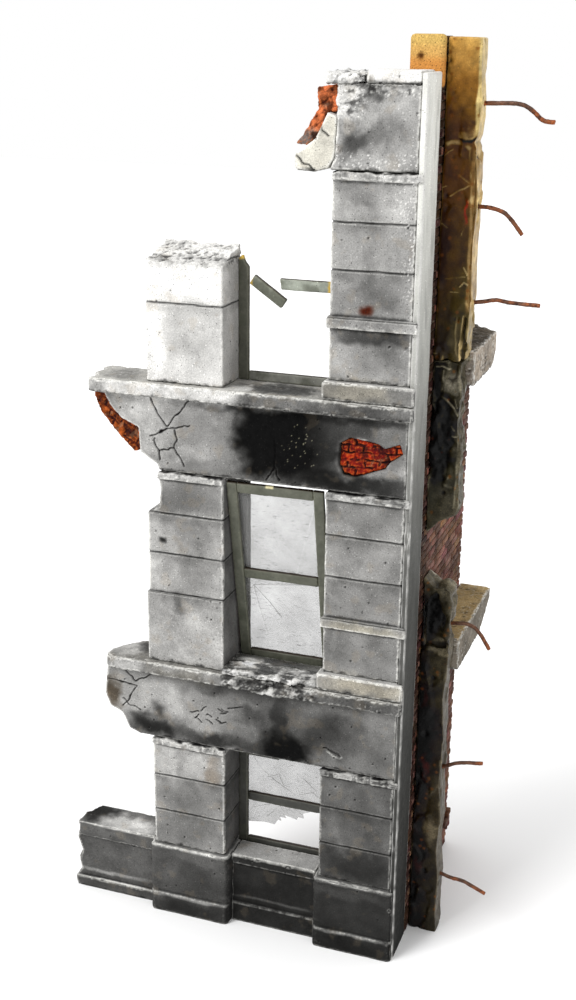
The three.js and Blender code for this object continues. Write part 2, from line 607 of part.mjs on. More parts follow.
// Second floor: only the stiles, the bottom rail and the two halves of the snapped transom are left.
const secondSash = new THREE.Group();
secondSash.position.set(WINDOW.left, FRAME_FRONT, STOREY + LEDGE_TOP + GAP);
const transomLevel = 27.4;
const remainsHeight = 36.6;
const splinteredStile = [
  [0, 0], [STRIP_WIDTH, 0], [STRIP_WIDTH, remainsHeight - 3.4], [1.9, remainsHeight - 2],
  [1.2, remainsHeight], [0, remainsHeight - 1.2],
];
add('second_window_left_stile', elevation(splinteredStile, 0, STRIP_THICKNESS), frameGreen, secondSash);
strip('second_window_right_stile', secondSash, sashWidth - STRIP_WIDTH, sashWidth, 0, transomLevel + 8);
strip('second_window_bottom_rail', secondSash, STRIP_WIDTH + GAP, sashWidth - STRIP_WIDTH - GAP, 0, 2.6);
const transomRight = sashWidth - STRIP_WIDTH - GAP;
const rightTransom = [
  [13, transomLevel], [transomRight, transomLevel],
  [transomRight, transomLevel + STRIP_WIDTH], [12.8, transomLevel + STRIP_WIDTH],
];
add('second_window_right_transom', elevation(rightTransom, 0, STRIP_THICKNESS), frameGreen, secondSash);
const hangingTransom = new THREE.Group();
hangingTransom.position.set(STRIP_WIDTH + GAP + 1.8, 0, transomLevel + 3.6);
hangingTransom.rotation.y = 0.6;
strip('second_window_left_transom', hangingTransom, 0, 11.6, -STRIP_WIDTH, 0);
secondSash.add(hangingTransom);
ruin.add(secondSash);

// ---- the origin is the middle of the footprint, on the ground ----
ruin.updateMatrixWorld(true);
const bounds = new THREE.Box3().setFromObject(ruin, true);
const middleOf = bounds.getCenter(new THREE.Vector3());
ruin.position.set(-middleOf.x, -middleOf.y, -bounds.min.z);
ruin.updateMatrixWorld(true);

export default ruin;
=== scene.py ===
"""Looks of the miniature terrain ruin: painted castings, brickwork, torn resin, wires, clear sheets.

The castings are fine meshes grown from the CAD nodes, then worn, cracked and painted in site
millimetres: X is 0 at the right end of the front, Y is 0 on the pier faces, Z is 0 on the ground.
"""
import math
import random
from types import SimpleNamespace

import bmesh
import bpy
import numpy as np
from mathutils import Matrix, Vector
from mathutils.bvhtree import BVHTree


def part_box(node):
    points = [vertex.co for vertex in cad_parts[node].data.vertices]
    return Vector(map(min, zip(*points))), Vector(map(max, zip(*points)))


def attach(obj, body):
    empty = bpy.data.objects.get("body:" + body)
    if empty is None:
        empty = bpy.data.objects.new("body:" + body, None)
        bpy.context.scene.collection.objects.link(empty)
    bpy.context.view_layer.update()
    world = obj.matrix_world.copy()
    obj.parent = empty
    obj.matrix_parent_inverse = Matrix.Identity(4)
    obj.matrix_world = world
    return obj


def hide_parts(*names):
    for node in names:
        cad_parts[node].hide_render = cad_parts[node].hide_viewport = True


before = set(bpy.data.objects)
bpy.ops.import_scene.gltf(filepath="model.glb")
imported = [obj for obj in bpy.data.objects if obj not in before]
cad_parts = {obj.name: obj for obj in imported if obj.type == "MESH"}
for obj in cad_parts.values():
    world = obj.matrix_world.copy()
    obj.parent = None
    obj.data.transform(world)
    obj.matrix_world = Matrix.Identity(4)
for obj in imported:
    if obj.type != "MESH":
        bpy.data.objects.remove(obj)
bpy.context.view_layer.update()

MM = 0.001
SITE = np.array([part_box("side_return")[1].x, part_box("side_return")[0].y, 0.0])
LIGHT_LEVEL = 1.36      # light on the front, against the white surroundings
SHEEN = 0.005           # what the surroundings' reflection adds to a dark paint
INFLATE = 0.12          # closes the 0.3 mm gap that the solids keep


# ---- noise

def lattice(ix, iy, iz, seed):
    """A random number from 0 to 1 for each whole-number cell."""
    mixed = ix * np.uint32(73856093) ^ iy * np.uint32(19349663) ^ iz * np.uint32(83492791)
    mixed = mixed ^ np.uint32((seed * 2654435761 + 97) % 2 ** 32)
    mixed = (mixed ^ (mixed >> np.uint32(15))) * np.uint32(0x85EBCA6B)
    mixed = (mixed ^ (mixed >> np.uint32(13))) * np.uint32(0xC2B2AE35)
    return (mixed ^ (mixed >> np.uint32(16))).astype(np.float64) / 2 ** 32


TURN = np.array(Matrix.Rotation(0.9, 3, "X") @ Matrix.Rotation(0.7, 3, "Y") @ Matrix.Rotation(0.5, 3, "Z"))


def noise(points, size, seed):
    """Smooth noise from -1 to 1, with features of about the given size, at a slant to every face."""
    scaled = points @ TURN / size + 5000.0
    cell = np.floor(scaled)
    part = scaled - cell
    part = part ** 3 * (part * (part * 6 - 15) + 10)
    cell = cell.astype(np.uint32)
    total = np.zeros(len(points))
    for dx in (0, 1):
        wx = part[:, 0] if dx else 1 - part[:, 0]
        for dy in (0, 1):
            wy = part[:, 1] if dy else 1 - part[:, 1]
            for dz in (0, 1):
                wz = part[:, 2] if dz else 1 - part[:, 2]
                corner = lattice(
                    cell[:, 0] + np.uint32(dx), cell[:, 1] + np.uint32(dy), cell[:, 2] + np.uint32(dz), seed
                )
                total += wx * wy * wz * corner
    return total * 2 - 1


def layered(points, size, octaves, seed):
    """Noise of the given size with finer noise on top of it."""
    total = np.zeros(len(points))
    for k in range(octaves):
        total += noise(points, size / 2 ** k, seed + 11 * k) * 0.55 ** k
        points = points @ TURN
    return total


def spots(points, size, seed):
    """How far the nearest of some scattered centres is, in sizes, its random number, and the way."""
    scaled = points / size + 5000.0
    cell = np.floor(scaled)
    nearest = np.full(len(points), 9.0)
    chance = np.zeros(len(points))
    away = np.zeros((len(points), 3))
    for dx in (-1, 0, 1):
        for dy in (-1, 0, 1):
            for dz in (-1, 0, 1):
                other = cell + np.array([dx, dy, dz])
                key = other.astype(np.uint32)
                random_place = [lattice(key[:, 0], key[:, 1], key[:, 2], seed + k) for k in range(3)]
                centre = np.stack(random_place, axis=1)
                gap = scaled - other - centre
                distance = np.sqrt((gap ** 2).sum(axis=1))
                closer = distance < nearest
                nearest[closer] = distance[closer]
                chance[closer] = lattice(key[closer, 0], key[closer, 1], key[closer, 2], seed + 3)
                away[closer] = gap[closer]
    return nearest, chance, away


def step(low, high, values):
    """A soft step from 0 at low to 1 at high; it falls where low is above high."""
    part = np.clip((values - low) / (high - low), 0, 1)
    return part * part * (3 - 2 * part)


# ---- castings

WARM = np.array([1.006, 1.0, 0.985])


def as_colour(grey):
    """Red, green and blue from 0 to 1, of a grey or of a colour given from 0 to 255."""
    return np.array(grey if isinstance(grey, tuple) else WARM * grey) / 255


class Casting:
    """A fine quad mesh in site millimetres, with a colour for each point."""

    def __init__(self, points, quads):
        self.points = points
        self.quads = quads
        pairs = np.concatenate([quads[:, [k, (k + 1) % 4]] for k in range(4)])
        self.pairs = np.concatenate([pairs, pairs[:, ::-1]])
        self.degree = np.bincount(self.pairs[:, 0], minlength=len(points))
        self.colour = np.ones((len(points), 3))

    def normals(self):
        """The direction that each point faces, averaged over the quads around it."""
        a, b, c, d = (self.points[self.quads[:, k]] for k in range(4))
        across = np.cross(c - a, d - b)
        total = np.zeros_like(self.points)
        for k in range(4):
            for axis in range(3):
                total[:, axis] += np.bincount(
                    self.quads[:, k], weights=across[:, axis], minlength=len(self.points)
                )
        return total / np.maximum(np.linalg.norm(total, axis=1), 1e-9)[:, None]

    def averaged(self, values, rounds):
        """The values, smoothed along the mesh."""
        values = values.copy()
        for _ in range(rounds):
            columns = [
                np.bincount(self.pairs[:, 0], weights=column[self.pairs[:, 1]], minlength=len(values))
                for column in values.reshape(len(values), -1).T
            ]
            values = (np.array(columns).T / self.degree[:, None]).reshape(values.shape)
        return values

    def bulge(self, rounds):
        """How far each point stands out of its surroundings, in mm."""
        return np.sum((self.points - self.averaged(self.points, rounds)) * self.normals(), axis=1)

    def move(self, amount):
        """Moves each point outward by its amount, in mm."""
        self.points += self.normals() * amount[:, None]

    def paint(self, colour, weight):
        """Lays a grey or a colour of 0 to 255, or an array of colours of 0 to 1, over the casting."""
        if not isinstance(colour, np.ndarray):
            colour = as_colour(colour)
        self.colour += (colour - self.colour) * np.clip(weight, 0, 1)[:, None]


def add_object(name, data):
    """An object in the scene with the given mesh, curve, lamp or camera."""
    made = bpy.data.objects.new(name, data)
    bpy.context.scene.collection.objects.link(made)
    return made


def casting(node, voxel):
    """The CAD node's shape as an even mesh of small quads."""
    source = add_object("cast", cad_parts[node].data.copy())
    remesh = source.modifiers.new("remesh", "REMESH")
    remesh.mode = "VOXEL"
    remesh.voxel_size = voxel * MM
    mesh = bpy.data.meshes.new_from_object(source.evaluated_get(bpy.context.evaluated_depsgraph_get()))
    points = np.empty(len(mesh.vertices) * 3)
    mesh.vertices.foreach_get("co", points)
    corners = np.empty(len(mesh.loops), np.int32)
    mesh.loops.foreach_get("vertex_index", corners)
    sizes = np.empty(len(mesh.polygons), np.int32)
    mesh.polygons.foreach_get("loop_total", sizes)
    if not (sizes == 4).all():
        raise RuntimeError(f"{node}: the remesh made faces other than quads")
    bpy.data.objects.remove(source)
    made = Casting((points.reshape(-1, 3) - SITE) / MM, corners.reshape(-1, 4))
    made.move(np.full(len(made.points), INFLATE))
    return made


def declare(name, data, node, replaces=True):
    """An object that rides on the ruin, stands for a CAD node or adds to it, and has its finish."""
    made = add_object(name, data)
    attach(made, "root")
    if replaces:
        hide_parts(node)
    return made


def piece(name, cast, material, node, replaces=True):
    """Turns a casting into a piece of the ruin, with nothing of it below the ground."""
    mesh = bpy.data.meshes.new(name)
    mesh.vertices.add(len(cast.points))
    cast.points[:, 2] = np.maximum(cast.points[:, 2], 0)
    mesh.vertices.foreach_set("co", (cast.points * MM + SITE).ravel())
    mesh.loops.add(cast.quads.size)
    mesh.loops.foreach_set("vertex_index", cast.quads.ravel().astype(np.int32))
    mesh.polygons.add(len(cast.quads))
    mesh.polygons.foreach_set("loop_start", np.arange(len(cast.quads), dtype=np.int32) * 4)
    mesh.update(calc_edges=True)
    mesh.polygons.foreach_set("use_smooth", np.ones(len(cast.quads), bool))
    paint = mesh.attributes.new("paint", "FLOAT_COLOR", "POINT")
    linear = np.clip((np.clip(cast.colour, 0.01, 1) ** 2.2) / LIGHT_LEVEL - SHEEN, 0.002, 0.9)
    paint.data.foreach_set("color", np.concatenate([linear, np.ones((len(linear), 1))], axis=1).ravel())
    mesh.materials.append(material)
    declare(name, mesh, node, replaces)


# ---- materials

class Recipe:
    """A new material, with short ways to add its nodes."""

    def __init__(self, name):
        self.material = bpy.data.materials.new(name)
        self.material.use_nodes = True
        self.tree = self.material.node_tree
        self.place = self.add("TexCoord", {}).outputs["Object"]

    def feed(self, node, inputs):
        """Each input is a constant, or the socket to wire to it."""
        for socket, value in inputs.items():
            if isinstance(value, bpy.types.NodeSocket):
                self.tree.links.new(value, node.inputs[socket])
            else:
                node.inputs[socket].default_value = value

    def add(self, kind, inputs, **settings):
        """A node of the given kind, with its settings made before its inputs are fed."""
        node = self.tree.nodes.new("ShaderNode" + kind)
        for name, value in settings.items():
            setattr(node, name, value)
        self.feed(node, inputs)
        return node

    def noise(self, scale, detail, vector=None, **inputs):
        """Noise, by default over the piece's own space."""
        inputs = {"Scale": scale, "Detail": detail, "Vector": vector or self.place, **inputs}
        return self.add("TexNoise", inputs).outputs["Fac"]

    def spread(self, value, low, high, to_low, to_high):
        """The value, stretched from one range to another."""
        ends = {"From Min": low, "From Max": high, "To Min": to_low, "To Max": to_high}
        return self.add("MapRange", {"Value": value, **ends}).outputs["Result"]

    def shade(self, inputs):
        """Sets the shader, and gives the finished material."""
        self.feed(self.tree.nodes["Principled BSDF"], inputs)
        return self.material


PIT_COLOUR = (0.015, 0.014, 0.013, 1)
FLECK_LIFT = 0.7        # how much lighter than its paint a fleck is
RELIEF = 0.25           # height of the grain


def painted(name, rough, speckle, fleck, bump, coat=0.0, metal=0.0, fine=0.42, gloss=0.12):
    """Paint over a casting: its own colours, fine speckle, light flecks and dark pits, and a grain.

    fleck holds two shares of the surface's cells: those with a light fleck, and those with a pit.
    """
    recipe = Recipe(name)

    def grain(size, detail, *spread):
        return recipe.spread(recipe.noise(1 / (size * MM), detail, Roughness=0.6), *spread)

    def dots(size, share, radius, strength):
        """Round dots of one size in a share of the cells."""
        cells = recipe.add("TexVoronoi", {"Scale": 1 / (size * MM), "Vector": recipe.place})
        within = recipe.spread(cells.outputs["Distance"], radius, radius * 0.6, 0, strength)
        pick = recipe.add("SeparateColor", {"Color": cells.outputs["Color"]}).outputs["Red"]
        some = recipe.add("Math", {0: pick, 1: share}, operation="LESS_THAN").outputs["Value"]
        return recipe.add("Math", {0: within, 1: some}, operation="MULTIPLY").outputs["Value"]

    own = recipe.add("Attribute", {}, attribute_name="paint").outputs["Color"]
    speckled = recipe.add("VectorMath", {0: own, "Scale": grain(fine, 3, 0.3, 0.7, 1 - speckle, 1 + speckle)},
                          operation="SCALE").outputs["Vector"]
    flecked = recipe.add("VectorMath", {0: speckled, 1: dots(0.6, fleck[0], 0.34, FLECK_LIFT), 2: speckled},
                         operation="MULTIPLY_ADD").outputs["Vector"]
    pitted = recipe.add("Mix", {"A": flecked, "B": PIT_COLOUR, "Factor": dots(0.55, fleck[1], 0.3, 0.8)},
                        data_type="RGBA")
    height = grain(0.5, 4, 0, 1, 0, 1)
    relief = recipe.add("Bump", {"Strength": bump, "Distance": RELIEF * MM, "Height": height})
    return recipe.shade({
        "Base Color": pitted.outputs["Result"],
        "Roughness": grain(1.8, 3, 0.3, 0.7, rough - 0.12, rough + 0.12),
        "Normal": relief.outputs["Normal"],
        "Metallic": metal,
        "Coat Weight": coat,
        "Coat Roughness": 0.25,
        "Specular IOR Level": gloss,
    })


STONE_PAINT = painted("stone_paint", 0.82, 0.24, (0.08, 0.14), 0.35, gloss=0.07)
SMOOTH_PAINT = painted("smooth_paint", 0.8, 0.14, (0.02, 0.04), 0.3)
RUBBLE_PAINT = painted("rubble_paint", 0.3, 0.25, (0.1, 0.15), 0.4, coat=0.6, gloss=0.4)
BRICK_PAINT = painted("brick_paint", 0.8, 0.3, (0.03, 0.2), 0.8)
RESIN_PAINT = painted("resin_paint", 0.4, 0.16, (0.03, 0.05), 0.35, coat=0.12, gloss=0.08)
DARK_CONCRETE = painted("dark_concrete", 0.45, 0.4, (0.06, 0.15), 0.8, coat=0.1, gloss=0.1)
FRAME_PAINT = painted("frame_paint", 0.5, 0.15, (0.03, 0.04), 0.3, fine=0.8, gloss=0.3)
RUST_PAINT = painted("rusty_wire_paint", 0.5, 0.3, (0.02, 0.1), 0.6, metal=0.4, gloss=0.4)


# ---- how the front is painted

STOREY = 89.8
JOINTS = [storey * STOREY + 25 + 12.9 * course for storey in range(3) for course in range(3)]

# Soft patches laid over the front: stains, with some painted highlight and painted shade among them; x, z,
# half width, half height, grey from 0 to 255 or colour, weight.
STAINS_AND_PAINTED_LIGHT = [
    # dwarf wall and bases; the light lines along the top edges (z 24.6) and the plinth edges (z 6.3 to 9.6)
    # are painted highlights
    (-100, 22.5, 14, 2.0, 120, 0.7), (-100, 24.7, 14, 0.5, 220, 0.7), (-100, 15, 14, 5, 96, 0.8),
    (-100, 6.3, 14, 0.7, 190, 0.7), (-100, 2.5, 14, 3, 70, 0.8), (-70, 24.6, 13, 0.6, 200, 0.7),
    (-70, 22, 13, 2, 98, 0.8), (-76, 15, 4, 4, 92, 0.7), (-63, 14, 5, 5, 62, 0.7),
    (-70, 6.6, 13, 0.6, 175, 0.7), (-70, 2.5, 14, 3.2, 52, 0.9), (-41, 15, 15, 7, 48, 0.85),
    (-41, 9.6, 15, 0.5, 105, 0.6), (-41, 3, 15, 4, 42, 0.8), (-14, 24.6, 12, 0.6, 172, 0.7),
    (-14, 22, 12, 2, 78, 0.7), (-14, 14, 12, 6, 55, 0.8), (-14, 6.7, 12, 0.6, 150, 0.7),
    (-14, 2.5, 12, 3, 42, 0.9),
    # ground storey piers
    (-69, 31, 14, 6, 122, 0.8), (-69, 44, 14, 6, 138, 0.8), (-70, 44, 5, 4, 128, 0.6),
    (-78, 55, 4, 6, 204, 0.75), (-67, 55, 6, 5, 196, 0.7), (-61, 55, 3, 4, (138, 126, 112), 0.6),
    (-14, 31, 12, 6, 52, 0.85), (-14, 44, 12, 6, 98, 0.8), (-22, 44, 4, 5, 130, 0.6),
    (-8, 42, 4, 4, 70, 0.6), (-14, 56, 12, 5, 110, 0.8), (-12, 55, 3, 4, 88, 0.5),
    # lower belt
    (-86, 76, 12, 10, 170, 0.8), (-82, 68, 9, 3.4, 44, 0.9), (-78, 74, 3, 2.4, 60, 0.8),
    (-65, 73, 9, 10, 158, 0.8), (-58, 84.5, 8, 2.4, 66, 0.75), (-47, 84.5, 8, 2.2, 66, 0.7),
    (-57, 67, 16, 2.6, 30, 0.8), (-74.5, 77, 3, 5, 186, 0.6), (-52, 76, 5, 9, 124, 0.8),
    (-38, 77, 11, 12, 78, 0.9), (-36.5, 69, 8, 4.8, 16, 0.95), (-38.5, 76, 2.6, 8, 46, 0.8),
    (-24, 76, 6, 7, 74, 0.6), (-48, 78, 4, 3, 58, 0.7), (-15, 76, 14, 11, 105, 0.8),
    (-25, 76, 5.6, 6, 58, 0.8), (-6, 82, 6, 5, 148, 0.6), (-95, 77, 2.6, 5, (78, 70, 60), 0.9),
    (-91, 89, 6, 3, 182, 0.8), (-71, 89, 11, 3, (90, 87, 80), 0.95), (-44, 89, 15, 3, 74, 0.85),
    (-14, 89, 14, 3, 88, 0.85), (-10, 94, 14, 3, (168, 160, 142), 0.7),
    # first storey piers
    (-69, 97, 14, 9, 180, 0.7), (-72, 103, 4, 3, 158, 0.6), (-72, 112, 1.6, 4, 108, 0.7),
    (-80, 121, 3, 7, 204, 0.8), (-66, 122, 6, 5, 150, 0.75), (-79, 135, 3, 6, 184, 0.7),
    (-69, 135, 6, 5, 112, 0.75), (-77, 132, 1.2, 1.0, 38, 0.9), (-68, 147, 12, 5, 112, 0.85),
    (-77, 144, 3, 3, 108, 0.7), (-14, 104, 12, 7, 128, 0.85), (-24, 107, 1.6, 5, 96, 0.7),
    (-14, 113, 12, 1.6, (180, 174, 158), 0.8), (-13, 121, 12, 6, 140, 0.85), (-22, 125, 3, 3, 104, 0.7),
    (-12, 134, 12, 6, 152, 0.85), (-12, 147, 12, 5, 128, 0.85), (-23, 150, 2.4, 3, 98, 0.7),
    # upper belt; the dark band at z 176 is painted shade under the upper ledge
    (-82, 168, 12, 10, 196, 0.8), (-65, 166, 8, 10, 166, 0.8), (-55, 167, 6, 9, 122, 0.7),
    (-48, 168, 5, 12, 58, 0.85), (-39, 168, 13, 14, 4, 1.0), (-26, 168, 5, 11, 40, 0.8),
    (-6, 171, 8, 6, 104, 0.7), (-19, 174, 7, 3.4, 56, 0.8), (-18, 156.5, 20, 3.4, 34, 0.85),
    (-64, 157, 10, 3, 112, 0.7), (-85, 165, 3, 4, 132, 0.6), (-3, 163, 2.4, 3, 172, 0.7),
    (-30, 176, 32, 1.6, 40, 0.8), (-79, 179, 19, 3, 236, 0.9), (-96, 179, 2, 2, 120, 0.6),
    (-57, 179, 7, 3, 214, 0.85), (-40, 179, 10, 3, 120, 0.85), (-14, 179, 14, 3, 78, 0.85),
    (-16, 184, 12, 3, (156, 150, 136), 0.7), (-4, 184, 4, 3, 110, 0.6),
    # second storey piers and the head; the near-white patch at x -79.5 is painted light, on the brightest-lit
    # part of the left pier
    (-67, 196, 9, 10, 200, 0.85), (-68, 211, 14, 6, 252, 0.9), (-79.5, 200, 5, 24, 254, 1.0),
    (-14, 193, 12, 5, 138, 0.8), (-22, 193, 3, 4, 182, 0.7), (-10, 197, 3, 3, 118, 0.6),
    (-14, 203, 12, 1.6, 172, 0.7), (-13, 199.6, 13, 2.2, 50, 0.75), (-12, 211, 12, 6, 138, 0.8),
    (-11, 212, 5, 5, 118, 0.6), (-14, 222, 1.6, 16, 112, 0.5), (-12, 224, 12, 6, 160, 0.7),
    (-12, 236, 12, 6, 168, 0.75), (-18, 238, 4, 3.5, 112, 0.7), (-15, 207, 2.2, 1.2, (74, 26, 14), 0.9),
    (-20, 251, 4, 4.4, 62, 0.85), (-14, 253, 4, 4, 96, 0.7), (-8, 254, 3, 3, 130, 0.6),
    (-17, 264, 5, 3, 44, 0.85), (-22, 262, 4, 6, 236, 0.85), (-12, 266, 12, 0.7, 60, 0.7),
]

# Cracks in the plaster, as lines of x, z.
CRACKS = [
    [(-92, 87), (-87.5, 82.5), (-81, 86.5)], [(-97, 82), (-87, 81), (-92, 73)],
    [(-92, 76), (-90, 74), (-86, 73)], [(-24.5, 71.2), (-22, 70.7), (-19, 69.5)],
    [(-80.4, 177), (-77.8, 171.3), (-75.3, 167.8), (-70.3, 173.3), (-67.6, 176.7)],
    [(-80.3, 164.2), (-75, 167.2), (-67.7, 168.9)], [(-79.3, 163.6), (-77.8, 159.7), (-77.5, 157.5)],
    [(-78, 160), (-72.8, 161.5), (-71.8, 164.1), (-72.5, 167.2)], [(-72.8, 161.5), (-69.5, 156.5)],
    [(-43.4, 155.3), (-40.9, 159.4), (-40.9, 167)], [(-39.7, 155.3), (-40.9, 159.4)],
    [(-56, 79), (-51, 80)], [(-36.2, 247.6), (-33.4, 245.4), (-30.4, 243.4)],
    [(-30.2, 258), (-28.4, 254), (-26.6, 252.5)],
]
scratch_dice = random.Random(4)
for _ in range(11):
    start = (scratch_dice.uniform(-69, -57), scratch_dice.uniform(72.5, 79))
    run = (scratch_dice.uniform(0.8, 2.4), scratch_dice.uniform(-1.6, 1.6))
    CRACKS.append([start, (start[0] + run[0], start[1] + run[1])])


def distance_to(line, x, z):
    """How far each point x, z is from a bent line."""
    nearest = np.full(len(x), 99.0)
    for (x0, z0), (x1, z1) in zip(line, line[1:]):
        run = (x1 - x0, z1 - z0)
        along = ((x - x0) * run[0] + (z - z0) * run[1]) / (run[0] ** 2 + run[1] ** 2)
        along = np.clip(along, 0, 1)
        nearest = np.minimum(nearest, np.hypot(x - x0 - along * run[0], z - z0 - along * run[1]))
    return nearest


def paint_stains_and_light(cast, normals):
    """Lays the stains, and the painted highlight and shade among them, over whatever faces the front or the
    top near the front.
    """
    p = cast.points
    reach = step(6.0, 2.5, p[:, 1]) * step(0.25, -0.2, normals[:, 1] - 0.4)
    wander = layered(p, 5.0, 4, 21) * 2.0
    drift = layered(p, 5.0, 4, 57) * 2.0
    for x, z, half_width, half_height, grey, weight in STAINS_AND_PAINTED_LIGHT:
        near = (np.abs(p[:, 0] - x) < 1.6 * half_width + 3) & (reach > 0)
        near &= np.abs(p[:, 2] - z) < 1.6 * half_height + 3
        if not near.any():
            continue
        sideways = (p[near, 0] - x + wander[near] * min(1, half_width / 4)) / half_width
        upright = (p[near, 2] - z + drift[near] * min(1, half_height / 4)) / half_height
        square = np.maximum(np.abs(sideways), np.abs(upright))
        amount = np.zeros(len(p))
        amount[near] = step(1.5, 0.35, square * 0.6 + np.hypot(sideways, upright) * 0.4)
        cast.paint(grey, amount * weight * reach)


CAPS = [storey * STOREY + 63.2 for storey in range(3)]

FAIR = 70       # castings of a lighter tone than this get painted contact shade along their feet
# Greys and colours that the weather leaves on stone, and those of painted shade and light, 0 to 255.
JOINT_SHADOW = 22
GAP_SHADOW = 26
CRUMB_SHADOW = 28
SHADE_AND_WASH = 30
GRIME = 60
CAP_DUST = 226
DUST = 232
LIT_RUBBLE = 238
WHITE_CRUMB = 244
RUSTY_WASH = (168, 146, 116)
LIGHT_SPECK = (160, 156, 132)


def spill_marks(p, normals, seed, left, right, bottom, lump):
    """A heap of rubble along a ledge: where it lies, and its lumps."""
    x, y, z = p.T
    heap = step(left - 1.5, left + 2, x) * step(right + 1.5, right - 2, x)
    heap *= step(bottom - 2, bottom + 2, z + layered(p, 3.0, 2, seed + 36))
    heap *= step(3.0, 1.0, y - 4 * step(0.5, 0.9, normals[:, 2]))
    heap *= step(-0.3, 0.2, normals[:, 2] - normals[:, 1])
    return heap, layered(p * np.array([0.8, 1, 1.2]), lump, 4, seed + 37)


def pier_marks(p, normals, seed):
    """The joints of a pier, the lips beside them, the shade under them, its moulding and the painted shade in
    the gap at its top.
    """
    z = p[:, 2]
    joint, lip, shade, cap, soot = np.zeros((5, len(p)))
    waver = 0.12 * noise(p, 3.0, 31)
    drip = 0.6 * noise(p, 4.0, 32)
    crumble = 0.5 * layered(p, 3.0, 3, seed + 45)
    for level in JOINTS:
        joint = np.maximum(joint, np.exp(-((z - level + waver) / 0.2) ** 2))
        lip = np.maximum(lip, np.exp(-((z - level + waver) / 0.9) ** 2))
        under = (level - z + drip) / 4.0
        shade = np.maximum(shade, step(1.0, 0.1, under) * (under > -0.1))
    for level in CAPS:
        cap = np.maximum(cap, step(1.7, 1.0, np.abs(z - level)))
        # painted shade in the upper edge of the moulding, in the gap under the fascia
        soot = np.maximum(soot, step(0.4, 1.2, z - level + crumble) * cap)
    return joint * step(0.4, 0.8, np.hypot(normals[:, 0], normals[:, 1])), lip, shade, cap, soot


def crack_marks(p):
    """How deep in a crack each point is, and how close beside one."""
    crack, beside = np.zeros((2, len(p)))
    x = p[:, 0] + 0.4 * noise(p, 1.4, 41)
    z = p[:, 2] + 0.4 * noise(p, 1.4, 43)
    low, high = p.min(axis=0) - 2, p.max(axis=0) + 2
    for line in CRACKS:
        if all(low[0] < at[0] < high[0] and low[2] < at[1] < high[2] for at in line):
            gap = distance_to(line, x, z)
            crack = np.maximum(crack, np.exp(-(gap / 0.2) ** 2))
            beside = np.maximum(beside, step(1.0, 0.6, gap))
    return crack, beside


def carve_stone(cast, stone, seed):
    """Breaks the edges, cuts pits, joints and cracks, piles up rubble, and gives back where each is."""
    p = cast.points
    x, y, z = p.T
    normals = cast.normals()
    faces_front = step(0.5, 0.9, -normals[:, 1])
    near, chance, _ = spots(p, 1.9, seed + 8)
    marks = SimpleNamespace(hole=step(0.22, 0.1, near) * (chance > 0.9))
    marks.crumbs, marks.ragged = np.zeros((2, len(p)))
    amount = layered(p, 6.0, 3, seed) * stone.waves
    amount += layered(p, 0.9, 2, seed + 5) * (0.03 + 0.25 * stone.crumble)
    amount -= marks.hole * stone.pits
    edge = step(0.05, 0.3, cast.bulge(4))
    amount -= edge * stone.chips * step(0.0, 0.9, layered(p, 2.2, 3, seed + 3)) * 1.5
    amount -= stone.crumble * step(0.1, 0.8, layered(p, 2.4, 4, seed + 13)) * 1.2
    if stone.spill:
        marks.heap, marks.lumps = spill_marks(p, normals, seed, *stone.spill[:4])
        amount += marks.heap * (0.25 + 0.14 * stone.spill[3] * marks.lumps)
    for at_x, at_z, reach_x, reach_z in stone.crusts:
        inside = step(1.3, 0.5, np.maximum(np.abs(x - at_x) / reach_x, np.abs(z - at_z) / reach_z))
        near, chance, _ = spots(p, 0.7, seed + 41)
        dots = step(0.42, 0.22, near) * (chance > 0.45 + 0.5 * noise(p, 2.4, seed + 42))
        dots *= inside * faces_front
        marks.crumbs = np.maximum(marks.crumbs, dots)
        amount += 0.12 * dots
    if stone.torn:
        level, depth = stone.torn
        marks.ragged = step(level, level + 2.5, z)
        amount -= marks.ragged * depth * (0.4 + layered(p, 1.3, 3, seed + 14))
    marks.joint, marks.lip, marks.shade, marks.cap, marks.soot = np.zeros((5, len(p)))
    if stone.joints:
        marks.joint, marks.lip, marks.shade, marks.cap, marks.soot = pier_marks(p, normals, seed)
        amount -= marks.joint * 0.3
        rough = 0.2 * layered(p * np.array([0.5, 1, 1.6]), 1.6, 3, seed + 15)
        amount += marks.cap * (rough - 0.25 * marks.soot)
    marks.crack, marks.beside = crack_marks(p)
    marks.crack *= faces_front * step(6, 3, y)
    amount -= marks.crack * 0.5
    cast.move(amount)
    return marks


def coat_stone(cast, stone, marks, seed):
    """The tone of a stone casting, its stains with their painted highlight and shade, its clouds, and painted
    shade on its right face.
    """
    p = cast.points
    x, y, z = p.T
    normals = cast.normals()
    cast.colour[:] = as_colour(stone.tone)
    if stone.stained:
        paint_stains_and_light(cast, normals)
    up = step(0.6, 0.9, normals[:, 2])
    if stone.top is not None:
        cast.paint(stone.top, up * 0.9)
    for at_x, at_y, reach_x, reach_y, grey, weight in stone.tops:
        sideways = (x - at_x + 1.5 * layered(p, 4.0, 3, seed + 38)) / reach_x
        inward = (y - at_y + 1.5 * layered(p, 4.0, 3, seed + 39)) / reach_y
        cast.paint(grey, up * step(1.4, 0.5, np.hypot(sideways, inward)) * weight)
    cloud = 0.13 * layered(p, 9.0, 3, seed + 17) + 0.03 * layered(p, 1.0, 3, seed + 18)
    cast.colour *= (1 + stone.contrast * cloud - 0.14 * marks.shade)[:, None]
    if stone.specks:
        at_x, at_z, radius = stone.specks
        close = step(1.3, 0.2, np.hypot(x - at_x, z - at_z) / radius)
        near, chance, _ = spots(p, 0.62, seed + 40)
        cast.paint(LIGHT_SPECK, step(0.34, 0.2, near) * (chance > 1 - 0.35 * close) * 0.75)
    # painted shade: faces turned to the right, and not upward, are darkened by the stone's setting
    cast.colour *= (1 - (1 - stone.side) * step(0.3, 0.8, normals[:, 0]) * (1 - up))[:, None]


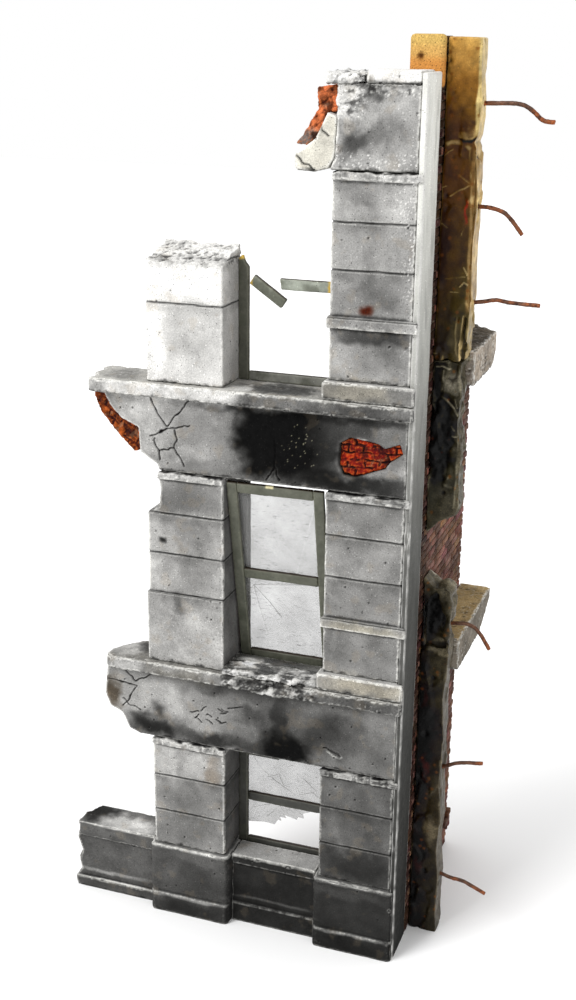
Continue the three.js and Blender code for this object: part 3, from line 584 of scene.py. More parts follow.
def weather_stone(cast, stone, marks, seed):
    """Dirt, a dark wash with painted shade in whatever is hollow, painted contact shade at the feet, ridges
    lightened by wear and painted highlight, then the rubble with its painted light and shade, and the crumbs
    and dust that lie on top.
    """
    p = cast.points
    x, _, z = p.T
    cast.paint(GRIME, step(0.15, 0.8, layered(p, 3.4, 3, seed + 19)) * 0.1 * stone.contrast)
    cast.paint(RUSTY_WASH, step(0.45, 0.9, layered(p, 4.0, 3, seed + 23)) * 0.12)
    # a dark wash in the hollows, with painted shade there
    cast.paint(SHADE_AND_WASH, step(0.03, 0.2, -cast.bulge(16)) * 0.55)
    # painted contact shade along the foot of a light casting
    if np.mean(stone.tone) > FAIR:
        contact_shade = step(1.1, 0.2, z - z.min() + 0.5 * layered(p, 2.0, 3, seed + 44))
        cast.paint(SHADE_AND_WASH, contact_shade * 0.75)
    pitted = marks.hole * 0.55 * (stone.pits > 0)
    cast.paint(JOINT_SHADOW, np.clip(marks.joint * 0.75 + marks.crack * 0.95 + pitted, 0, 1))
    # ridges lightened: worn, dry-brushed edges with painted highlight
    ridge = step(0.02, 0.07, cast.bulge(2)) * np.clip(0.8 + 0.5 * noise(p, 1.2, seed + 27), 0, 1)
    ridge *= (1 - 0.8 * marks.beside) * (1 - 0.7 * marks.lip)
    if stone.quiet:
        at_x, at_z, reach_x, reach_z = stone.quiet
        away = np.hypot((x - at_x) / reach_x, (z - at_z) / reach_z)
        ridge *= np.clip(step(0.9, 1.2, away) + 0.8 * step(0.2, 0.7, noise(p, 3.0, seed + 48)), 0, 1)
    worn = np.clip(cast.colour.mean(axis=1) + 0.42, 0, 1)
    cast.paint(worn[:, None] * np.array([1, 0.995, 0.97]), ridge * 0.8)
    if stone.spill:
        # painted shade between the rubble's lumps, and painted highlight on their tops
        cast.paint(stone.spill[4], marks.heap * step(0.0, -0.45, marks.lumps) * 0.8)
        lit = step(-0.05, 0.4, marks.lumps) * step(-0.5, 0.2, noise(p, 5.0, seed + 47))
        cast.paint(LIT_RUBBLE, marks.heap * lit * 0.85)
    loose = np.clip(marks.cap * 0.3 + stone.crumble * 0.9 + marks.ragged * 0.25, 0, 1)
    cast.paint(DUST, loose * step(0.0, 0.5, layered(p, 1.3, 2, seed + 33)) * 0.75)
    cast.paint(CRUMB_SHADOW, loose * step(0.15, 0.6, layered(p, 1.5, 2, seed + 35)) * 0.8)
    # painted shade in the gap at the top of the moulding
    cast.paint(GAP_SHADOW, marks.soot * 0.85)
    cast.paint(WHITE_CRUMB, marks.crumbs * 0.8)
    dusty = step(-0.2, 0.5, layered(p, 3.4, 3, seed + 46))
    cast.paint(CAP_DUST, marks.cap * (1 - marks.soot) * dusty * 0.5)


# The usual stone casting; STONES says how each one differs from it.
USUAL_STONE = dict(
    voxel=0.33,             # how fine its mesh is
    coating=STONE_PAINT,
    top=None,               # colour of the upper face
    side=0.8,               # painted shade: how light the right face is painted
    contrast=1.0,
    stained=True,           # whether the front's stains, painted highlights and painted shade lie on it
    chips=0.3,              # how far its edges are broken
    pits=0.22,              # depth of the round pits
    waves=0.05,
    crumble=0.0,
    joints=False,           # whether it has a pier's joints and moulding
    torn=None,              # where its top is torn off, and how deep
    spill=None,             # a heap of rubble: left, right, bottom, size of a lump, grey of the painted shade between them
    tops=(),                # stains on the upper face: x, y, half width, half depth, grey, weight
    crusts=(),              # white crumbs: x, z, half width, half height
    specks=None,            # light specks: x, z, radius
    quiet=None,             # where the edges stay dull: x, z, half width, half height
)
STONES = {
    "left_pier_base": dict(tone=76, top=130),
    "right_pier_base": dict(tone=52, top=110),
    "window_plinth": dict(tone=46, top=180),
    "left_dwarf_wall": dict(tone=92, top=112, chips=0.5,
                            tops=((-107, 10, 8, 6, 40, 0.9), (-94, 5, 12, 6, 228, 0.85))),
    "ground_left_pier": dict(tone=148, joints=True, side=0.72),
    "ground_right_pier": dict(tone=88, joints=True),
    "first_left_pier": dict(tone=168, joints=True, side=0.72),
    "first_right_pier": dict(tone=146, joints=True),
    "second_left_pier": dict(tone=226, joints=True, top=245, torn=(214, 0.3), side=0.92, contrast=0.7),
    "second_right_pier": dict(tone=172, joints=True, crusts=((-3, 226, 1.6, 17), (-5, 236, 3, 5))),
    "lower_belt_fascia": dict(tone=125, voxel=0.28),
    "upper_belt_fascia": dict(tone=140, voxel=0.28, specks=(-33, 166, 7.5), quiet=(-13, 165, 12, 8)),
    "lower_belt_ledge": dict(tone=104, top=(136, 134, 129), chips=0.7, pits=0.0, crumble=0.1,
                             spill=(-57, -26, -9, 2.8, 48),
                             tops=((-93, 5, 6, 7, 222, 0.7), (-86, 8, 5, 4, 50, 0.7))),
    "upper_belt_ledge": dict(tone=176, top=(190, 188, 182), chips=0.7, pits=0.0, crumble=0.1,
                             tops=((-41, 5, 12, 6, 64, 0.85), (-53, 2, 4, 4, 226, 0.7),
                                   (-92, 6, 6, 6, 120, 0.5))),
    "first_window_sill": dict(tone=84, top=(112, 111, 108), chips=0.5, pits=0.0, stained=False,
                              spill=(-60, -22, -9, 2.8, 52), coating=RUBBLE_PAINT, contrast=2.0,
                              tops=((-51, 4, 5, 4, 246, 0.9), (-42, 8, 7, 3, 40, 0.8),
                                    (-33, 2, 5, 3, 210, 0.8))),
    "first_window_back_strip": dict(tone=128, chips=0.3, pits=0.1, stained=False),
    "lower_right_pedestal": dict(tone=150, top=200),
    "upper_right_pedestal": dict(tone=140, top=190),
    "head_block": dict(tone=172, top=220, torn=(262, 0.3), spill=(-30, -16.5, 257, 1.9, 96),
                       crusts=((-13, 246.6, 12, 2.2),)),
    "head_coping": dict(tone=250, top=254, chips=0.5, contrast=0.6),
    "head_rubble": dict(tone=226, top=236, chips=0.7, pits=0.8, waves=0.3, crumble=0.7, coating=RUBBLE_PAINT),
    "arch_fragment": dict(tone=(236, 232, 218), top=240, chips=0.6, stained=False),
    "side_ledge_lower": dict(tone=(136, 128, 116), top=(190, 162, 112), side=0.92, chips=0.6, pits=0.5,
                             stained=False, crumble=0.15),
    "side_ledge_upper": dict(tone=(158, 146, 132), top=(96, 88, 76), side=1.1, chips=0.8, pits=0.6,
                             stained=False, crumble=0.25),
}

for number, (node, traits) in enumerate(STONES.items()):
    stone = SimpleNamespace(**{**USUAL_STONE, **traits})
    seed = 100 + 7 * number
    cast = casting(node, stone.voxel)
    marks = carve_stone(cast, stone, seed)
    coat_stone(cast, stone, marks, seed)
    weather_stone(cast, stone, marks, seed)
    piece(node + "_stone", cast, stone.coating, node)


# ---- plain strip and brickwork

STRIP_HEIGHT = 270
STRIP_LEVELS = [0, 0.12, 0.5, 0.76, 0.9, 1]     # shares of the height
STRIP_GREYS = [44, 60, 100, 204, 248, 254]


def plain_strip():
    """The smooth strip on the right end of the front, darker towards the ground."""
    cast = casting("side_return", voxel=0.4)
    p = cast.points
    worn = step(0.05, 0.3, cast.bulge(4)) * step(0.1, 0.8, noise(p, 3, 5))
    cast.move(0.05 * layered(p, 5.0, 3, 301) - 0.3 * worn)
    height = np.clip(p[:, 2] / STRIP_HEIGHT, 0, 1)
    grey = np.interp(height, STRIP_LEVELS, STRIP_GREYS) / 255
    cast.colour = grey[:, None] * np.array([1.0, 1.0, 0.97])
    cast.colour *= (1 + 0.05 * layered(p * np.array([1, 1, 0.3]), 2.5, 3, 305))[:, None]
    cast.paint(40, step(0.3, 0.9, layered(p * np.array([1, 1, 0.2]), 3.0, 3, 308)) * 0.14)
    # lighter edges: wear and painted highlight
    cast.paint(238, step(0.03, 0.12, cast.bulge(3)) * (0.6 + 0.4 * noise(p, 2.0, 309)))
    piece("side_return_strip", cast, SMOOTH_PAINT, "side_return")


COURSE = 2.4
BRICK = 7.2
BED = 0.36              # thickness of a mortar bed


def masonry(along, up, length, course, joint, seed):
    """How deep in a joint each point is, 0 to 1, and a random number for its brick."""
    row = np.floor(up / course)
    shifted = along / length + 0.5 * (row % 2)
    column = np.floor(shifted)
    across = (0.5 - np.abs(shifted - column - 0.5)) * length
    upright = (0.5 - np.abs(up / course - row - 0.5)) * course
    inside = np.minimum(across, upright)
    chance = lattice((row + 500).astype(np.uint32), (column + 500).astype(np.uint32),
                     np.zeros(len(row), np.uint32), seed)
    return 1 - step(joint * 0.4, joint * 1.3, inside), chance


def bare_brick(node, tilt, seed, clear=1.0, tone=(0.62, 0.175, 0.07), lower=None):
    """Brick that shows where the plaster has gone; the less clear it is, the softer its courses.

    lower is a level, and the colour of whatever is below it.
    """
    cast = casting(node, voxel=0.22)
    p = cast.points
    cos, sin = math.cos(tilt), math.sin(tilt)
    x = p[:, 0] + 0.5 * noise(p, 1.7, seed)
    z = p[:, 2] + 0.34 * noise(p, 1.7, seed + 1)
    groove, chance = masonry(x * cos + z * sin, z * cos - x * sin, length=4.7, course=2.25, joint=BED,
                             seed=seed + 2)
    groove *= step(-0.7, 0.1, layered(p, 2.0, 2, seed + 7)) * clear
    front = step(-0.1, 0.6, -cast.normals()[:, 1])
    rough = layered(p, 1.6, 4, seed + 3)
    cast.move(-groove * 0.5 * front - 0.5 * clear * (chance - 0.3) * front + 0.28 * rough)
    brick = np.array(tone) * (0.6 + 0.5 * chance + 0.25 * (1 - clear))[:, None]
    cast.colour = brick * (1 + 0.3 * rough)[:, None]
    if lower:
        level, colour = lower
        cast.paint(colour, step(level + 1.5, level - 1.5, p[:, 2] + noise(p, 2.0, seed + 9)))
    # lighter brick edges: wear and painted highlight
    cast.paint((214, 116, 66), step(0.02, 0.1, cast.bulge(3)) * 0.55)
    # dark mortar joints, and painted shade in the hollows
    hollow = step(0.04, 0.25, -cast.bulge(12))
    cast.paint((50, 22, 14), np.clip(groove * 0.75 + hollow * 0.5, 0, 1))
    cast.paint((44, 24, 16), step(0.1, 0.8, layered(p, 2.6, 4, seed + 5)) * 0.7)
    cast.paint((150, 130, 116), step(0.5, 0.9, layered(p, 2.0, 3, seed + 6)) * 0.4)
    piece(node + "_courses", cast, BRICK_PAINT, node)


ROUNDING = 0.2          # share of a unit brick that its edges take up
CORE = 1 - ROUNDING
MIDDLE = 0.27           # and where its faces are split again


def brick_template():
    """A unit brick: for each point the signs of its corner and its offset into the rounded edge."""
    marks = [-1, -CORE, -MIDDLE, MIDDLE, CORE, 1]
    index, points, quads = {}, [], []

    def point(at):
        if at not in index:
            index[at] = len(points)
            points.append(at)
        return index[at]

    for axis in range(3):
        for end in (-1, 1):
            for i in range(len(marks) - 1):
                for j in range(len(marks) - 1):
                    ring = [(i, j), (i + 1, j), (i + 1, j + 1), (i, j + 1)]
                    if end < 0:
                        ring.reverse()
                    corners = []
                    for a, b in ring:
                        at = [marks[a], marks[b]]
                        at.insert(axis, end)
                        if axis == 1:
                            at = [at[2], at[1], at[0]]
                        corners.append(point(tuple(at)))
                    quads.append(corners)
    at = np.array(points, float)
    core = np.clip(at, -CORE, CORE)
    offset = at - core
    length = np.linalg.norm(offset, axis=1)
    offset *= (ROUNDING / np.maximum(length, ROUNDING))[:, None]
    return core / CORE, offset / ROUNDING, np.array(quads)


def search_tree(node):
    """The solid's faces, to be met by rays."""
    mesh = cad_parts[node].data
    return BVHTree.FromPolygons([vertex.co for vertex in mesh.vertices],
                                [tuple(face.vertices) for face in mesh.polygons])


EDGE = 0.28             # radius of a brick's worn edges
LEAST_HEIGHT = 0.8      # of a cut brick
LEAST_LENGTH = 1.2
PROUD_BEYOND = 66       # some bricks at the back, low down, stand out
PROUD_LEVELS = (8, 14)
PROUD_BY = 1.2
WARM_ABOVE = 266        # the last courses are yellower
SHADED_BEFORE = 20        # and the bricks near the front are darker: painted shade from the fin and the strip
SHADED_TO = 0.55
BRICK_TONE = np.array([0.49, 0.345, 0.30])
WARM_TONE = np.array([0.62, 0.44, 0.2])


def lay_bricks(node, seed):
    """The bricks of one storey of the side wall, laid wherever its solid is."""
    low, high = ((np.array(corner) - SITE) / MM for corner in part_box(node))
    tree = search_tree(node)
    dice = random.Random(seed)
    core, offset, unit_quads = brick_template()
    points, quads, colours = [], [], []
    for row in range(math.floor(low[2] / COURSE), math.ceil(high[2] / COURSE)):
        bottom = max(row * COURSE, low[2])
        top = min((row + 1) * COURSE, high[2])
        if top - bottom < LEAST_HEIGHT:
            continue
        start = low[1] - BRICK * (0.5 * (row % 2))
        for column in range(math.ceil((high[1] - start) / BRICK) + 1):
            left = max(start + column * BRICK, low[1])
            right = min(start + (column + 1) * BRICK, high[1])
            if right - left < LEAST_LENGTH:
                continue
            centre = np.array([(low[0] + high[0]) / 2, (left + right) / 2, (bottom + top) / 2])
            outside = Vector(centre * MM + SITE) + Vector((1, 0, 0))
            if tree.ray_cast(outside, Vector((-1, 0, 0)))[0] is None:
                continue
            half = np.array([(high[0] - low[0]) / 2, (right - left - BED) / 2, (top - bottom - BED) / 2])
            shift = np.array([dice.uniform(-0.12, 0.05), dice.uniform(-0.08, 0.08), 0])
            if centre[1] > PROUD_BEYOND and PROUD_LEVELS[0] < centre[2] < PROUD_LEVELS[1]:
                shift[0] += PROUD_BY
            block = core * (half - EDGE) + offset * EDGE + centre + shift
            tone = BRICK_TONE * dice.uniform(0.72, 1.2)
            tone = tone * np.array([1, dice.uniform(0.9, 1.08), dice.uniform(0.85, 1.1)])
            if centre[2] > WARM_ABOVE:
                tone = WARM_TONE * dice.uniform(0.8, 1.1)
            # painted shade on the bricks near the front
            if centre[1] < SHADED_BEFORE:
                tone = tone * SHADED_TO
            quads.append(unit_quads + len(points) * len(core))
            points.append(block)
            colours.append(np.tile(tone, (len(core), 1)))
    bricks = Casting(np.concatenate(points), np.concatenate(quads))
    p = bricks.points
    bricks.move(0.10 * layered(p, 1.4, 3, seed + 1) - 0.35 * step(0.5, 0.8, noise(p, 2.2, seed + 2)))
    bricks.colour = np.concatenate(colours) * (1 + 0.2 * layered(p, 1.0, 2, seed + 3))[:, None]
    bricks.paint((66, 52, 44), step(-0.2, 0.8, layered(p, 9.0, 4, seed + 4)) * 0.65)
    bricks.paint((150, 128, 112), step(0.4, 0.7, layered(p, 1.8, 3, seed + 5)) * 0.4)
    piece(node + "_bricks", bricks, BRICK_PAINT, node)


def fill_mortar(node, seed):
    """The mortar core of one storey of the side wall, which is bare and amber at the very top in front."""
    cast = casting(node, voxel=0.6)
    x, y, z = cast.points.T
    bare = step(264, 266, z) * step(17.5, 16.8, y)
    sunk = -0.5 + 0.12 * layered(cast.points, 1.5, 3, seed + 6)
    cast.move(sunk * (1 - bare) + 0.2 * bare)
    cast.colour[:] = as_colour((112, 100, 88))
    cast.colour *= (1 + 0.2 * layered(cast.points, 4.0, 3, seed + 7))[:, None]
    cast.paint((224, 176, 102), bare)
    cast.paint((220, 192, 112), bare * step(274.5, 277, z) * 0.5)
    cast.paint((216, 116, 48), bare * step(274, 271, z) * 0.4)
    cast.paint((60, 30, 10), bare * step(1.3, 0.5, np.hypot(x + 6, z - 273)) * 0.8)
    piece(node + "_mortar", cast, BRICK_PAINT, node, replaces=False)


plain_strip()
bare_brick("upper_belt_brick_patch", 0.03, 320)
bare_brick("upper_belt_brick_end", -0.55, 330, 0.55, (0.5, 0.25, 0.12))
bare_brick("arch_brick", 0.5, 340, 0.35, (0.85, 0.47, 0.3), (254, (128, 116, 110)))
for number, node in enumerate(("side_wall_ground", "side_wall_first", "side_wall_second")):
    lay_bricks(node, 360 + 20 * number)
    fill_mortar(node, 360 + 20 * number)


# ---- torn fin and wires

def facets(points, size, seed):
    """Flat tilted facets, as a brittle casting breaks, in parts of their size."""
    _, chance, away = spots(points, size, seed)
    tilt = away[:, 0] * (chance - 0.5) + away[:, 1] * (0.5 - chance) + away[:, 2] * np.sin(chance * 40) * 0.7
    return tilt + 0.4 * (chance - 0.5)


# Sharp folds in the torn faces of the fin, as lines of x, z, each with its width and how light its paint is;
# the light along a fold is pale scratch and painted highlight on its crease.
FOLDS = [
    ([(1.1, 250.3), (2.4, 250.8), (6.3, 250.6), (7.4, 249.2)], 1.0, 0.95),
    ([(-0.4, 246.5), (1.2, 247.9), (2.8, 248.8)], 0.3, 0.6),
    ([(7.5, 249.4), (7.7, 245), (8.2, 241), (8.6, 235), (8.8, 228), (8.6, 222), (8.8, 214)], 0.4, 0.5),
    ([(3.6, 243), (5.6, 241.7), (8.2, 240)], 0.3, 0.7), ([(-0.3, 238.5), (1.6, 239.1)], 0.25, 0.6),
    ([(2.6, 236.5), (5.3, 238.2), (8.2, 239.7)], 0.4, 0.8), ([(6.2, 225.9), (6.9, 228.1)], 0.25, 0.5),
    ([(0.7, 229.1), (2.2, 227.8)], 0.25, 0.5), ([(2.3, 213.7), (5.1, 214.2), (8, 214.6)], 0.3, 0.5),
    ([(7.4, 217.3), (8.6, 215)], 0.4, 0.9), ([(6.6, 211.9), (7.6, 213.1), (8.8, 212.4)], 0.4, 0.8),
    ([(3.9, 210.2), (7.3, 210.4)], 0.3, 0.5),
    ([(6.2, 203.1), (5.9, 198.2), (6.2, 193.9), (7.4, 191)], 0.5, 0.6),
    ([(-0.2, 192.4), (1, 192.5)], 0.3, 0.7), ([(1.2, 188.8), (3, 189), (5, 188.3)], 0.5, 0.95),
    ([(3.3, 187.8), (3.2, 183.4), (2.5, 180.4)], 0.5, 0.7),
    ([(2.5, 180.1), (4.6, 178.6), (6.6, 177), (7.8, 174.8)], 0.6, 0.95),
    ([(7, 179.6), (7.6, 177)], 0.3, 0.6), ([(6.2, 171.4), (7.2, 170.2)], 0.4, 0.9),
    ([(6.6, 168.6), (7.9, 168.4)], 0.3, 0.9), ([(4.1, 165.6), (3.9, 164.6)], 0.4, 0.8),
    ([(8.2, 173.8), (8.4, 166), (8.4, 158), (8.3, 152), (8, 147)], 0.4, 0.5),
    ([(5, 153.6), (7, 153.2)], 0.9, 0.4),
    ([(0.3, 124.3), (2, 122.6), (4, 121.2), (5.9, 121.4), (7.2, 122.2), (8.2, 121)], 0.5, 1.0),
]


WARM_FLECK = (120, 70, 26)


def between(bottom, top, z):
    """1 from one height to another, with soft ends."""
    return step(bottom - 1, bottom + 2, z) * step(top + 0.6, top - 0.6, z)


def tear(cast, torn, seed, hollow, bevels):
    """Tears a block's faces, and gives back where its front, pits, ragged part, bevels and folds are."""
    p = cast.points
    x, _, z = p.T
    edge = step(0.1, 0.6, cast.bulge(8))
    warped = p * np.array([1, 1, 0.5]) + 0.6 * layered(p, 5.0, 2, seed + 20)[:, None]
    broken = step(-0.3, 0.4, layered(p, 14.0, 2, seed + 21))
    amount = torn * (0.15 * layered(p, 5.0, 3, seed) + 1.3 * broken * facets(warped, 4.6, seed + 1))
    amount -= edge * torn * step(-0.2, 0.9, layered(p, 2.6, 3, seed + 2)) * 0.8
    near, chance, _ = spots(p, 4.0, seed + 3)
    pit = step(0.3, 0.12, near) * (chance > 0.75)
    amount -= 0.5 * pit
    ragged = step(hollow[0] - 2, hollow[0] + 1, z) * step(hollow[1] + 2, hollow[1] - 1, z)
    amount += ragged * (0.8 * layered(p, 4.4, 3, seed + 22) - 0.2)
    amount = np.clip(cast.averaged(amount, 2), -2.0, 0.9)
    front = step(0.3, 0.8, -cast.normals()[:, 1])
    slope, fold = np.zeros((2, len(p)))
    for at_x, bottom, top, depth, _ in bevels:
        tall = between(bottom, top, z)
        wavy = x - at_x + 0.35 * layered(p, 7.0, 3, seed + 26)
        slope = np.maximum(slope, tall * step(-0.15, 0.35, wavy))
        amount -= front * tall * depth * np.clip(wavy, 0, 3)
    warped_x = x + 0.15 * noise(p, 1.5, seed + 23)
    warped_z = z + 0.15 * noise(p, 1.5, seed + 24)
    for line, width, light in FOLDS:
        close = step(width * 0.8, width * 0.2, distance_to(line, warped_x, warped_z))
        fold = np.maximum(fold, close * light)
    fold *= front * step(-1.0, 0.2, noise(p, 2.0, seed + 25))
    cast.move(amount + 0.2 * fold)
    return front, pit, ragged, slope, fold


def coat_block(cast, seed, colours, patches):
    """Colours that change up a block's height and across its width, darker at the left as painted shade, and
    patches over them.
    """
    p = cast.points
    x, _, z = p.T
    levels, lefts, rights = zip(*colours)
    height = z + 5 * layered(p, 9.0, 3, seed + 5)
    left = np.array([np.interp(height, levels, channel) for channel in zip(*lefts)]).T
    right = np.array([np.interp(height, levels, channel) for channel in zip(*rights)]).T
    # painted shade: the left of the block takes the darker colours
    share = step(0.1, 0.95, (x - x.min()) / (x.max() - x.min()) + 0.2 * layered(p, 4.0, 3, seed + 6))
    cast.colour = (left + (right - left) * share[:, None]) / 255
    for at_x, at_z, half_width, half_height, colour, weight in patches:
        sideways = (x - at_x + 0.9 * layered(p, 3.0, 3, seed + 7)) / half_width
        upright = (z - at_z + 1.4 * layered(p, 3.0, 3, seed + 8)) / half_height
        cast.paint(colour, step(1.3, 0.4, np.hypot(sideways, upright)) * weight)


def torn_block(node, material, torn, seed, colours, patches, edge_colour, end_colour, hollow, bevels=()):
    """A broken piece of concrete or resin.

    torn is how deep it is torn. colours are a height, the colour at the left, darker as painted shade, and
    the one at the right.
    patches are x, z, half width, half height, colour, weight; some are painted shade and highlight. hollow is
    where it is ragged: from, to.
    bevels are worn right edges: x, from, to, depth, colour.
    """
    cast = casting(node, voxel=0.26)
    p = cast.points
    front, pit, ragged, slope, fold = tear(cast, torn, seed, hollow, bevels)
    coat_block(cast, seed, colours, patches)
    for _, bottom, top, _, colour in bevels:
        cast.paint(colour, slope * between(bottom, top, p[:, 2]) * (0.85 + 0.15 * noise(p, 3.0, seed + 27)))
    normals = cast.normals()
    ends = step(0.5, 0.85, normals[:, 0]) * step(0.05, 0.4, -normals[:, 1] + 0.9 * (normals[:, 0] > 0.8))
    cast.paint(end_colour, ends * (0.7 + 0.3 * noise(p, 3.0, seed + 12)))
    cast.colour *= (1 + 0.16 * layered(p, 2.2, 4, seed + 9))[:, None]
    near, chance, _ = spots(p, 1.6, seed + 28)
    cast.paint(WARM_FLECK, step(0.5, 0.2, near) * (chance > 0.86) * (front > 0.5) * 0.6)
    # painted shade in the hollows, and the pits' own dark
    cast.paint((14, 11, 7), np.clip(step(0.08, 0.4, -cast.bulge(14)) * 0.6 + pit * 0.35, 0, 1))
    # lighter ridges and folds: wear and painted highlight
    ridge = step(0.025, 0.1, cast.bulge(2)) * np.clip(0.5 + 0.7 * noise(p, 2.6, seed + 10), 0, 1)
    cast.paint(edge_colour, ridge * (1 - 0.8 * ragged) * 0.5)
    cast.paint(edge_colour, fold * 0.55)
    piece(node + "_torn", cast, material, node)


AMBER = [
    (186, (36, 33, 19), (56, 50, 34)), (198, (50, 40, 20), (66, 58, 32)),
    (214, (66, 48, 20), (76, 62, 30)), (240, (78, 50, 16), (96, 66, 26)),
    (250, (80, 50, 16), (92, 62, 24)), (258, (88, 56, 20), (100, 70, 28)),
    (266, (146, 100, 42), (140, 98, 44)), (278, (206, 156, 78), (220, 176, 98)),
]
# the near-black patch at x 7.6, z 251.4 is painted shade in the notch, and the pale one above it a painted
# highlight
AMBER_PATCHES = [
    (7.6, 251.4, 2.2, 0.9, (10, 8, 5), 0.95), (7.4, 253, 2.4, 1.2, (214, 184, 124), 0.7),
    (0.8, 270, 0.6, 8, (96, 66, 24), 0.6), (1, 252, 1.4, 9, (70, 48, 16), 0.6),
    (6.2, 196, 2.2, 8, (88, 78, 54), 0.7), (1.4, 222, 1.6, 12, (38, 27, 12), 0.6),
    (3, 244, 2, 8, (84, 54, 16), 0.4), (7, 232.6, 0.7, 2.6, (150, 44, 16), 0.8),
    (6.6, 254.2, 2.2, 1.6, (70, 46, 24), 0.7),
]
OLIVE = [
    (120, (20, 18, 13), (44, 40, 30)), (142, (70, 66, 52), (96, 90, 76)),
    (154, (52, 50, 38), (70, 66, 52)), (164, (16, 15, 10), (28, 26, 18)),
    (182, (28, 26, 17), (56, 52, 38)),
]
# the near-black patch at z 172 is painted shade in the hollow
OLIVE_PATCHES = [
    (6, 185, 2.8, 3.6, (140, 134, 118), 0.85), (0.6, 184, 1.4, 5, (30, 26, 16), 0.8),
    (7, 181, 1.6, 1.4, (120, 116, 104), 0.6), (3, 172, 3, 6, (9, 8, 6), 0.9),
    (3, 160, 2.6, 9, (16, 15, 11), 0.7), (5, 151, 3, 3, (76, 72, 62), 0.7),
    (5, 145, 3.4, 2.4, (66, 62, 50), 0.7), (7.4, 166, 1, 3, (84, 78, 62), 0.6),
]
EARTH = [
    (0, (30, 26, 18), (52, 47, 37)), (20, (26, 22, 14), (48, 42, 32)), (38, (30, 23, 13), (70, 62, 46)),
    (70, (22, 18, 10), (38, 32, 22)), (98, (28, 24, 15), (66, 60, 44)), (112, (24, 21, 14), (44, 40, 30)),
    (124, (84, 76, 58), (150, 142, 120)),
]
# the near-black patch at z 112 is painted shade in the hollow, and the pale line at z 124 a painted highlight
# along its top edge
EARTH_PATCHES = [
    (6, 38, 2.4, 5, (150, 136, 108), 0.6), (3, 60, 1.2, 5, (76, 26, 16), 0.5),
    (2, 84, 1.0, 5, (70, 26, 16), 0.45), (6, 101, 4, 1.6, (170, 158, 130), 0.6),
    (3, 112, 2.6, 7, (8, 7, 5), 0.9), (5, 124, 6, 1.0, (240, 232, 212), 0.85),
    (2, 25, 1.2, 5, (70, 26, 16), 0.4),
]
torn_block("fin_top", RESIN_PAINT, torn=0.7, seed=400, colours=AMBER, patches=AMBER_PATCHES,
           edge_colour=(232, 206, 150), end_colour=(226, 196, 136), hollow=(186, 196),
           bevels=[(8.4, 204, 249, 0.5, (132, 100, 58)), (8.7, 252, 279, 0.4, (240, 216, 148))])
torn_block("fin_middle", DARK_CONCRETE, torn=1.1, seed=430, colours=OLIVE, patches=OLIVE_PATCHES,
           edge_colour=(226, 216, 188), end_colour=(88, 82, 66), hollow=(158, 180),
           bevels=[(8.1, 145, 176, 0.4, (104, 97, 78))])
torn_block("fin_lower", DARK_CONCRETE, torn=0.8, seed=460, colours=EARTH, patches=EARTH_PATCHES,
           edge_colour=(170, 160, 134), end_colour=(104, 97, 84), hollow=(100, 122))


def rusty_wire(node, seed):
    """A dull wire, rusty at its tip and where it leaves the fin."""
    cast = casting(node, voxel=0.17)
    p = cast.points
    cast.move(0.05 * layered(p, 0.9, 3, seed) - 0.06)
    reach = p[:, 0].max() - p[:, 0].min()
    tip = step(p[:, 0].max() - 0.3 * reach, p[:, 0].max(), p[:, 0])
    root = step(p[:, 0].min() + 0.35 * reach, p[:, 0].min() + 0.1 * reach, p[:, 0])
    cast.colour = np.array([0.40, 0.285, 0.225]) * (1 + 0.2 * layered(p, 1.5, 3, seed + 1))[:, None]
    rust = np.clip(0.6 * step(0.3, 0.9, layered(p, 3.0, 3, seed + 2)) + 0.7 * tip + 0.6 * root, 0, 1)
    cast.paint((190, 98, 48), rust * 0.75)
    cast.paint((60, 38, 30), step(0.3, 0.8, layered(p, 1.2, 3, seed + 3)) * 0.6)
    piece(node + "_rust", cast, RUST_PAINT, node)


for number in range(6):
    rusty_wire(f"rebar_{number + 1}", 500 + 9 * number)


# ---- windows

# Greys of the frame strips, by storey and strip by strip on the second storey; one paint, so their
# differences are partly painted light.
FRAME_TINTS = {
    "ground": (0.28, 0.28, 0.265), "first": (0.385, 0.39, 0.345), "left_stile": (0.36, 0.36, 0.32),
    "right_stile": (0.4, 0.4, 0.35), "bottom_rail": (0.5, 0.5, 0.47), "left_transom": (0.53, 0.54, 0.49),
    "right_transom": (0.64, 0.66, 0.61),
}
# The axis along each snapped strip, and the side of its broken end.
BROKEN_STRIPS = {
    "second_window_left_stile": (2, 1), "second_window_left_transom": (0, -1),
    "second_window_right_transom": (0, 1),
}


